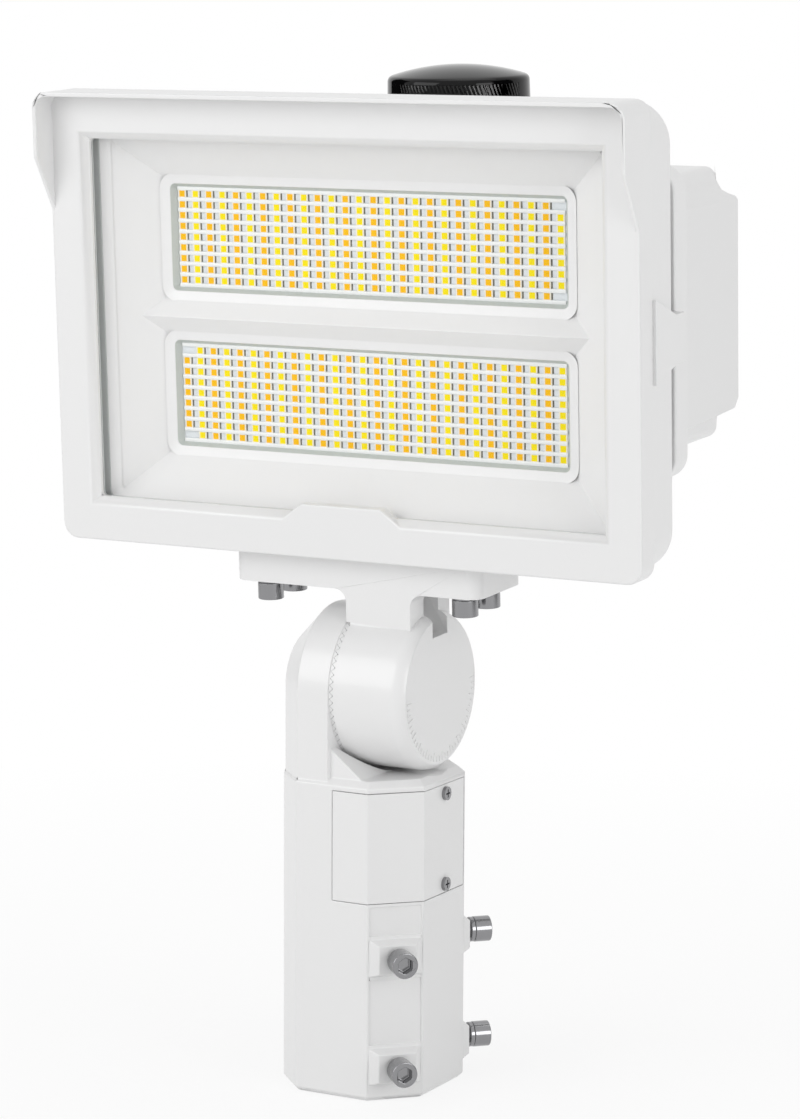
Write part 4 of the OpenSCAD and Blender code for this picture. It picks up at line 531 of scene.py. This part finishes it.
# White strips between the rows of chips: a wide front on a narrow web
stripSteps = np.arange(boardLook["rows"] + 1) - boardLook["rows"] / 2
stripMids = (boardMids[:, None] + stripSteps * pitchZ).ravel()
stripCentres = np.stack([np.zeros(len(stripMids)), np.full(len(stripMids), boardFront), stripMids], axis=1)
stripLength = 2 * boardLook["stripHalfLength"]
tall, low, high = boardLook["stripHeight"], boardLook["stripLow"], boardLook["stripHigh"]
template, faces = blockTemplate([
    (stripLength, tall, low), (stripLength, tall, high - boardLook["stripEdge"]),
    (stripLength - boardLook["lengthTaper"], tall - boardLook["heightTaper"], high)])
webLength, webHeight = stripLength - boardLook["webShorter"], boardLook["webHeight"]
webTemplate, webFaces = blockTemplate([
    (webLength, webHeight, 0.0), (webLength, webHeight, low + boardLook["webLap"])])
verts, faces = repeatedShape(np.concatenate([template, webTemplate]),
                             np.concatenate([faces, webFaces + len(template)]), stripCentres)
newPiece("boardStrips", headToRow(verts), faces, "head", ["strip"])
print("chips, slots and strips placed")


def ringPiece(name, layers, steps, mids, material, innerMaterial=None, innerLayers=()):
    # Closed ring through rounded rectangles: a layer is half width, half height, corner radius and y in mm.
    # Each corner has steps quads, and one ring stands at each height in mids.
    angles = (np.arange(4)[:, None] * 90 + np.linspace(0, 90, steps + 1)[None]) * np.pi / 180
    arc = np.stack([np.cos(angles), np.sin(angles)], axis=-1)
    signs = np.array([[1, 1], [-1, 1], [-1, -1], [1, -1]])
    rings = []
    for halfWidth, halfHeight, corner, y in layers:
        # Point = corner's centre + corner radius * (cos a, sin a)
        flat = ((signs * [halfWidth - corner, halfHeight - corner])[:, None] + corner * arc).reshape(-1, 2)
        rings.append(np.stack([flat[:, 0], np.full(len(flat), y), flat[:, 1]], axis=-1))
    faces = gridFaces(len(rings), len(rings[0]), closeRows=True, closeColumns=True)
    which = np.tile(np.repeat([k in innerLayers for k in range(len(rings))], len(rings[0])), len(mids))
    verts, faces = repeatedShape(np.concatenate(rings), faces, np.array([[0.0, 0.0, mid] for mid in mids]))
    return newPiece(name, headToRow(verts), faces, "head", [material, innerMaterial or material], which)


# Rims of the reflector's two windows, in millimetres
rimLook = {
    "halfWidth": 122.2, "halfHeight": 29.5, "corner": 3.0, "leastCorner": 0.3, "cornerSteps": 8,
    # steps out from the window's edge, with the depth before the board
    "profile": [(6.2, 5.7), (4.0, 4.62), (0.8, 4.35), (0.5, 4.25), (0.3, 4.0), (-2.05, 0.45), (-2.2, 0.3),
                (-2.2, 0.02), (-0.1, 0.02), (-0.1, 1.5)],
    "shadedFrom": 4, "shadedTo": 6,  # steps of the inner wall that get the painted shade of the boards
}
rimLayers = [
    (rimLook["halfWidth"] + out, rimLook["halfHeight"] + out,
     max(rimLook["corner"] + out, rimLook["leastCorner"]), boardFront - depth)
    for out, depth in rimLook["profile"]]
shaded = range(rimLook["shadedFrom"], rimLook["shadedTo"])
# The inner wall's steps get the darker plastic as painted shade
ringPiece("windowRims", rimLayers, rimLook["cornerSteps"], boardMids,
                  "reflector", "rimWallPaintedShade", shaded)

# The reflector's slopes go on from its mouth up to the glass, as a rim of their own, in millimetres
mouthLook = {
    "halfWidth": 151.0, "halfHeight": 98.35,
    "slopeSide": 1.477, "slopeEnd": 1.292,  # how far they grow sideways and upwards per millimetre forward
    "corner": 2.0, "cornerGrowth": 2, "cornerSteps": 6,
    "forward": 2.6, "wall": 0.5,  # how far the slopes go on, and the rim's thickness
    "back": 0.7, "lift": 0.04,  # how far the rim reaches back over the slopes, and how high it lies on them
    "clearance": 0.02,  # between the rim and the reflector's front
}
reflectorLow, reflectorHigh = headBox("reflector")
mouthMid = (reflectorLow[2] + reflectorHigh[2]) / 2
mouthY = reflectorLow[1] - mouthLook["clearance"]
reachSide = mouthLook["halfWidth"] + mouthLook["slopeSide"] * mouthLook["forward"]
reachEnd = mouthLook["halfHeight"] + mouthLook["slopeEnd"] * mouthLook["forward"]
corner, wall = mouthLook["corner"], mouthLook["wall"]
frontCorner, frontY = corner + mouthLook["cornerGrowth"], mouthY - mouthLook["forward"]
mouthLayers = [
    (mouthLook["halfWidth"] - mouthLook["slopeSide"] * mouthLook["back"] - mouthLook["lift"],
     mouthLook["halfHeight"] - mouthLook["slopeEnd"] * mouthLook["back"] - mouthLook["lift"],
     corner, mouthY + mouthLook["back"]),
    (reachSide, reachEnd, frontCorner, frontY),
    (reachSide + wall, reachEnd + wall, frontCorner + wall, frontY),
    (reachSide + wall, reachEnd + wall, frontCorner + wall, mouthY),
    (mouthLook["halfWidth"] + wall, mouthLook["halfHeight"] + wall, corner + wall, mouthY)]
ringPiece("mouthRim", mouthLayers, mouthLook["cornerSteps"], [mouthMid], "reflector")

# Gasket round the glass: it grips the pane's edge and closes the room to the mouth's rim, in millimetres
gasketLook = {
    "openHalfWidth": 156.35, "openHalfHeight": 99.85, "step": 0.2,  # frame's opening, step back from it
    "lipRoom": 0.05,  # room to the frame's lip
    "innerWall": 0.1,  # room round the mouth's rim
    "corner": 2.7, "outerCorner": 4.5, "backCorner": 4.6, "glassCorner": 2.0, "cornerSteps": 6,
}
gasketLow, gasketHigh = headBox("lens_gasket")
glassLow, glassHigh = headBox("lens_glass")
glassHalf = (glassHigh - glassLow) / 2
outerHalf = (gasketHigh - gasketLow) / 2
openHalf = np.array([gasketLook["openHalfWidth"], 0, gasketLook["openHalfHeight"]]) + gasketLook["step"]
backHalf = np.array([reachSide, 0, reachEnd]) + wall + gasketLook["innerWall"]
lipY = gasketLow[1] + gasketLook["lipRoom"]
openRing = (openHalf[0], openHalf[2], gasketLook["corner"])
outerRing = (outerHalf[0], outerHalf[2], gasketLook["outerCorner"])
backRing = (backHalf[0], backHalf[2], gasketLook["backCorner"])
glassRing = (glassHalf[0], glassHalf[2], gasketLook["glassCorner"])
gasketLayers = [
    (*openRing, lipY), (*outerRing, lipY), (*outerRing, gasketHigh[1]), (*backRing, gasketHigh[1]),
    (*backRing, glassHigh[1]), (*glassRing, glassHigh[1]), (*glassRing, glassLow[1]),
    (*openRing, glassLow[1])]
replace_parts(ringPiece("lensGasket", gasketLayers, gasketLook["cornerSteps"], [mouthMid], "silicone"),
            "lens_gasket")
print("window rims, mouth rim and gasket placed")


# Photocell: cap and window turned round the photocell's axis, in millimetres
cellLook = {
    "wall": 2.0, "footRadius": 41.0, "footInset": 0.4, "footHeight": 0.6,  # wall and the chamfer at its foot
    "shoulderRadius": 39.94, "shoulderDrop": 6.5,  # where wall and dome would meet, below the top
    "rounding": 2.7, "roundingPoints": 9, "domePoints": 16,
    "windowLow": 9.5, "windowHeight": 12.0,  # window's place below the top, its height
    "windowYaw": 28.6, "windowAngle": 112.0,  # degrees right of the front, degrees round the cap
    "wallSteps": (-8, 0, 4, 8),  # heights of the wall's points above the window's foot
    "columns": 180,  # points round the cap
    "ribs": 34, "ribDepth": 0.22,  # faint ribs on the window
    "ribSlant": 0.05, "slantHeight": 10,  # share of the window's angle that a rib moves over this height
    "paneThickness": 1.7, "paneRows": 13, "paneColumns": 205,
    "paneRoom": 0.05, "paneTurn": 0.1,  # room above and below the pane, degrees free at its ends
}
capLow, capHigh = headBox("photocell_cap")
cellY = (capLow[1] + capHigh[1]) / 2
capFoot, capTop = capLow[2], capHigh[2]
windowTop = capTop - cellLook["windowLow"]
windowFoot = windowTop - cellLook["windowHeight"]
windowStart = cellLook["windowYaw"] - 90 - cellLook["windowAngle"] / 2


def wallRadius(z):
    # Straight taper from the foot to the shoulder
    rise = (z - capFoot) / (capTop - cellLook["shoulderDrop"] - capFoot)
    return cellLook["footRadius"] + (cellLook["shoulderRadius"] - cellLook["footRadius"]) * rise


def turned(radius, z, degrees):
    # Point = (radius cos angle, radius sin angle, z) round the photocell's axis, one row an angle
    angle = np.radians(degrees)[:, None]
    radii = np.broadcast_to(radius, (len(degrees), np.shape(z)[-1]))
    return np.stack([radii * np.cos(angle), cellY + radii * np.sin(angle), np.broadcast_to(z, radii.shape)],
                    axis=-1)


# Outer line of the cap from its foot to its middle: wall, shoulder, dome
shoulderZ = capTop - cellLook["shoulderDrop"]
edge = cellLook["shoulderRadius"]
domeRadius = (edge ** 2 + cellLook["shoulderDrop"] ** 2) / 2 / cellLook["shoulderDrop"]


def domeZ(radius):
    # Height of the dome's circle at a radius
    return capTop - domeRadius + np.sqrt(domeRadius ** 2 - radius ** 2)


wallZ = np.array([capFoot, capFoot + cellLook["footHeight"], *(windowFoot + np.array(cellLook["wallSteps"])),
                  windowTop])
wallLine = np.stack([wallRadius(wallZ), wallZ], axis=1)
wallLine[0, 0] -= cellLook["footInset"]
# Shoulder point = (1 - s)^2 * start + 2 s (1 - s) * meeting point of wall and dome + s^2 * end
start = np.array([wallRadius(shoulderZ - cellLook["rounding"]), shoulderZ - cellLook["rounding"]])
end = np.array([edge - cellLook["rounding"], domeZ(edge - cellLook["rounding"])])
s = np.linspace(0, 1, cellLook["roundingPoints"])[:, None]
shoulder = (1 - s) ** 2 * start + 2 * s * (1 - s) * np.array([edge, shoulderZ]) + s ** 2 * end
domeRadii = np.linspace(end[0], 0, cellLook["domePoints"])[1:]
outerLine = np.concatenate([wallLine, shoulder, np.stack([domeRadii, domeZ(domeRadii)], axis=1)])
# Inner line: the outer one moved inwards by the wall, square to its own direction
along = np.gradient(outerLine, axis=0)
along[0] = along[2]
along /= np.linalg.norm(along, axis=1)[:, None]
innerLine = outerLine - cellLook["wall"] * np.stack([along[:, 1], -along[:, 0]], axis=1)
innerLine[0, 1] = outerLine[0, 1]
innerLine[-1] = [0.0, capTop - cellLook["wall"]]
columns, rows = cellLook["columns"], len(outerLine)
degrees = windowStart + np.arange(columns) * 360 / columns
verts = np.concatenate([
    turned(line[:, 0], line[:, 1], degrees).reshape(-1, 3) for line in (outerLine, innerLine)])
skinPoints = columns * rows
skin = gridFaces(columns, rows, closeRows=True)
cell = np.arange(columns)[:, None] * (rows - 1) + np.arange(rows - 1)[None]
windowColumns = round(cellLook["windowAngle"] / 360 * columns)
lowRow, highRow = len(wallZ) - 4, len(wallZ) - 1  # the line's points at the window's foot and top
keep = np.ones(len(skin), bool)
keep[cell[:windowColumns, lowRow:highRow].ravel()] = False


def bridge(ring, shift):
    # Quads from the outer skin to the inner one round a closed line of point numbers, the inner ones shifted
    following = np.roll(ring, -1)
    return np.stack([ring, following, following + shift, ring + shift], axis=1)


windowEdge = np.concatenate([
    np.arange(windowColumns + 1) * rows + lowRow, windowColumns * rows + np.arange(lowRow + 1, highRow + 1),
    np.arange(windowColumns - 1, -1, -1) * rows + highRow, np.arange(highRow - 1, lowRow, -1)])
faces = np.concatenate([skin[keep], skin[keep] + skinPoints, bridge(np.arange(columns) * rows, skinPoints),
                        bridge(windowEdge, skinPoints)])
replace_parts(newPiece("photocellCap", headToRow(verts), faces, "photocell", ["blackGloss"]), "photocell_cap")

# Window pane: its outer radius waves in and out by ribDepth along slanted ribs
paneZ = np.linspace(
    windowFoot + cellLook["paneRoom"], windowTop - cellLook["paneRoom"], cellLook["paneRows"])
paneDegrees = windowStart + np.linspace(
    cellLook["paneTurn"], cellLook["windowAngle"] - cellLook["paneTurn"], cellLook["paneColumns"])
phase = (np.radians(paneDegrees - windowStart)[:, None] / math.radians(cellLook["windowAngle"])
         + (paneZ - windowFoot)[None] * cellLook["ribSlant"] / cellLook["slantHeight"]
         ) * cellLook["ribs"] * 2 * np.pi
outerRadius = wallRadius(paneZ)[None] - cellLook["ribDepth"] * (1 - np.cos(phase)) / 2
innerRadius = np.broadcast_to(wallRadius(paneZ)[None] - cellLook["paneThickness"], outerRadius.shape)
verts = np.concatenate([
    turned(radius, paneZ, paneDegrees).reshape(-1, 3) for radius in (outerRadius, innerRadius)])
paneRows, paneColumns = outerRadius.shape
skinPoints = paneRows * paneColumns
skin = gridFaces(paneRows, paneColumns)
paneEdge = np.concatenate([
    np.arange(paneRows) * paneColumns, (paneRows - 1) * paneColumns + np.arange(1, paneColumns),
    np.arange(paneRows - 2, -1, -1) * paneColumns + paneColumns - 1, np.arange(paneColumns - 2, 0, -1)])
faces = np.concatenate([skin, skin + skinPoints, bridge(paneEdge, skinPoints)])
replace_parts(newPiece("photocellWindow", headToRow(verts), faces, "photocell", ["smoked"]),
            "photocell_window")
print("photocell turned")


# Camera, lights and backdrop

# Camera solved from the photograph: turns in degrees, place in metres, lens and sensor in millimetres
camera = {
    "yaw": 28.591, "down": 8.489, "roll": 0.290, "place": (0.98594, -1.78325, 0.5979),
    "lens": 168.33, "sensor": 36.0,
}
cameraData = bpy.data.cameras.new("photoCamera")
cameraData.sensor_fit = "HORIZONTAL"
cameraData.sensor_width = camera["sensor"]
cameraData.lens = camera["lens"]
cameraObject = newObject("photoCamera", cameraData)
cameraObject.location = camera["place"]
turn = (Matrix.Rotation(math.radians(camera["yaw"]), 4, "Z")
        @ Matrix.Rotation(math.radians(90 - camera["down"]), 4, "X")
        @ Matrix.Rotation(math.radians(camera["roll"]), 4, "Z"))
cameraObject.rotation_mode = "QUATERNION"
cameraObject.rotation_quaternion = turn.to_quaternion()
bpy.context.scene.camera = cameraObject
bpy.context.scene.view_settings.view_transform = "Standard"

# Studio: place and size of each softbox in metres, power in watts, and the strength of the pale room
studio = {
    "keyBox": {"place": (-1.1, -1.9, 1.2), "size": (1.8, 1.5), "power": 22.5},
    "fillBox": {"place": (1.8, -0.6, 0.6), "size": (0.9, 0.9), "power": 8.8},
    "topBox": {"place": (0.1, 0.3, 2.2), "size": (1.2, 1.2), "power": 5.0},
}
roomLight = 0.55
objectMiddle = (0, 0, 0.33)  # in metres, where lamps and cards face


def towardMiddle(place, front):
    # Turn that points an object's front axis from its place to the middle of the object, its y axis up
    return (Vector(objectMiddle) - Vector(place)).to_track_quat(front, "Y")


def softbox(name, place, size, power):
    # Rectangular lamp that faces the middle of the object
    data = bpy.data.lights.new(name, "AREA")
    data.shape = "RECTANGLE"
    data.size, data.size_y = size
    data.energy = power
    lamp = newObject(name, data)
    lamp.location = place
    lamp.rotation_mode = "QUATERNION"
    lamp.rotation_quaternion = towardMiddle(place, "-Z")


def flatPiece(name, across, upward, height, material):
    # Rectangle of the half sizes across and upward, at a height over its own origin, in metres
    mesh = bpy.data.meshes.new(name)
    corners = [(-across, -upward, height), (across, -upward, height), (across, upward, height),
               (-across, upward, height)]
    mesh.from_pydata(corners, [], [(0, 1, 2, 3)])
    mesh.materials.append(material)
    return newObject(name, mesh)


for name, look in studio.items():
    softbox(name, **look)

# Dark cards beside the stage, in metres: they show only in reflections, mostly those of polished metal
flags = {
    "flagRight": {"place": (1.5, 0.5, 0.5), "size": (1.1, 2.4)},
    "flagLeft": {"place": (-1.6, 0.1, 0.5), "size": (1.2, 2.4)},
}
flagMaterial, tree = emptyMaterial("DarkCard")
cardColor = (0.01, 0.01, 0.01, 1)  # nearly black
dark = addNode(tree, "ShaderNodeEmission", {"Color": cardColor, "Strength": 1.0})
addNode(tree, "ShaderNodeOutputMaterial", {"Surface": dark.outputs[0]})
for name, look in flags.items():
    card = flatPiece(name, look["size"][0] / 2, look["size"][1] / 2, 0, flagMaterial)
    card.location = look["place"]
    card.rotation_mode = "QUATERNION"
    card.rotation_quaternion = towardMiddle(look["place"], "Z")
    card.visible_camera = card.visible_diffuse = card.visible_shadow = card.visible_transmission = False
    card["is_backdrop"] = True


def seenDirectly(tree):
    # 1 for what the camera sees, straight or by way of a mirror or glass, and 0 for light that falls on
    # things
    path = addNode(tree, "ShaderNodeLightPath")
    seen = addNode(tree, "ShaderNodeMath", {
        0: path.outputs["Is Camera Ray"], 1: path.outputs["Is Glossy Ray"]}, operation="ADD")
    seenAtAll = addNode(tree, "ShaderNodeMath", {
        0: seen.outputs[0], 1: path.outputs["Is Transmission Ray"]}, operation="ADD", use_clamp=True)
    return seenAtAll.outputs[0]


world = bpy.data.worlds.new("Studio")
bpy.context.scene.world = world
world.use_nodes = True
tree = world.node_tree
tree.nodes.clear()
lit = addNode(tree, "ShaderNodeBackground", {"Color": (1, 1, 1, 1), "Strength": roomLight})
shown = addNode(tree, "ShaderNodeBackground", {"Color": (1, 1, 1, 1), "Strength": 1.0})
mix = addNode(tree, "ShaderNodeMixShader", {0: seenDirectly(tree), 1: lit.outputs[0], 2: shown.outputs[0]})
addNode(tree, "ShaderNodeOutputWorld", {"Surface": mix.outputs[0]})

# Floor: pale, white where the camera sees it, with the object's shadow left faintly near its foot.
# Half size, near and far distance in metres, drop below the object in millimetres.
floorLook = {"halfSize": 6.0, "drop": 0.5, "near": 0.1, "far": 0.9, "nearWhite": 0.85, "color": "#F4F4F4"}
floorMaterial, tree = emptyMaterial("PaleFloor")
place = addNode(tree, "ShaderNodeTexCoord").outputs["Object"]
distance = addNode(tree, "ShaderNodeVectorMath", {0: place}, operation="LENGTH").outputs["Value"]
whiteShare = addNode(tree, "ShaderNodeMapRange", {
    "Value": distance, "From Min": floorLook["near"], "From Max": floorLook["far"],
    "To Min": floorLook["nearWhite"], "To Max": 1.0}).outputs["Result"]
share = addNode(tree, "ShaderNodeMath", {
    0: seenDirectly(tree), 1: whiteShare}, operation="MULTIPLY").outputs[0]
matte = addNode(tree, "ShaderNodeBsdfDiffuse", {"Color": linearColor(floorLook["color"])})
white = addNode(tree, "ShaderNodeEmission", {"Color": (1, 1, 1, 1), "Strength": 1.0})
mix = addNode(tree, "ShaderNodeMixShader", {0: share, 1: matte.outputs[0], 2: white.outputs[0]})
addNode(tree, "ShaderNodeOutputMaterial", {"Surface": mix.outputs[0]})
half = floorLook["halfSize"]
flatPiece("studioFloor", half, half, -floorLook["drop"] * mm, floorMaterial)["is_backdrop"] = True
print("camera, lights and floor set")

low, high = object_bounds()
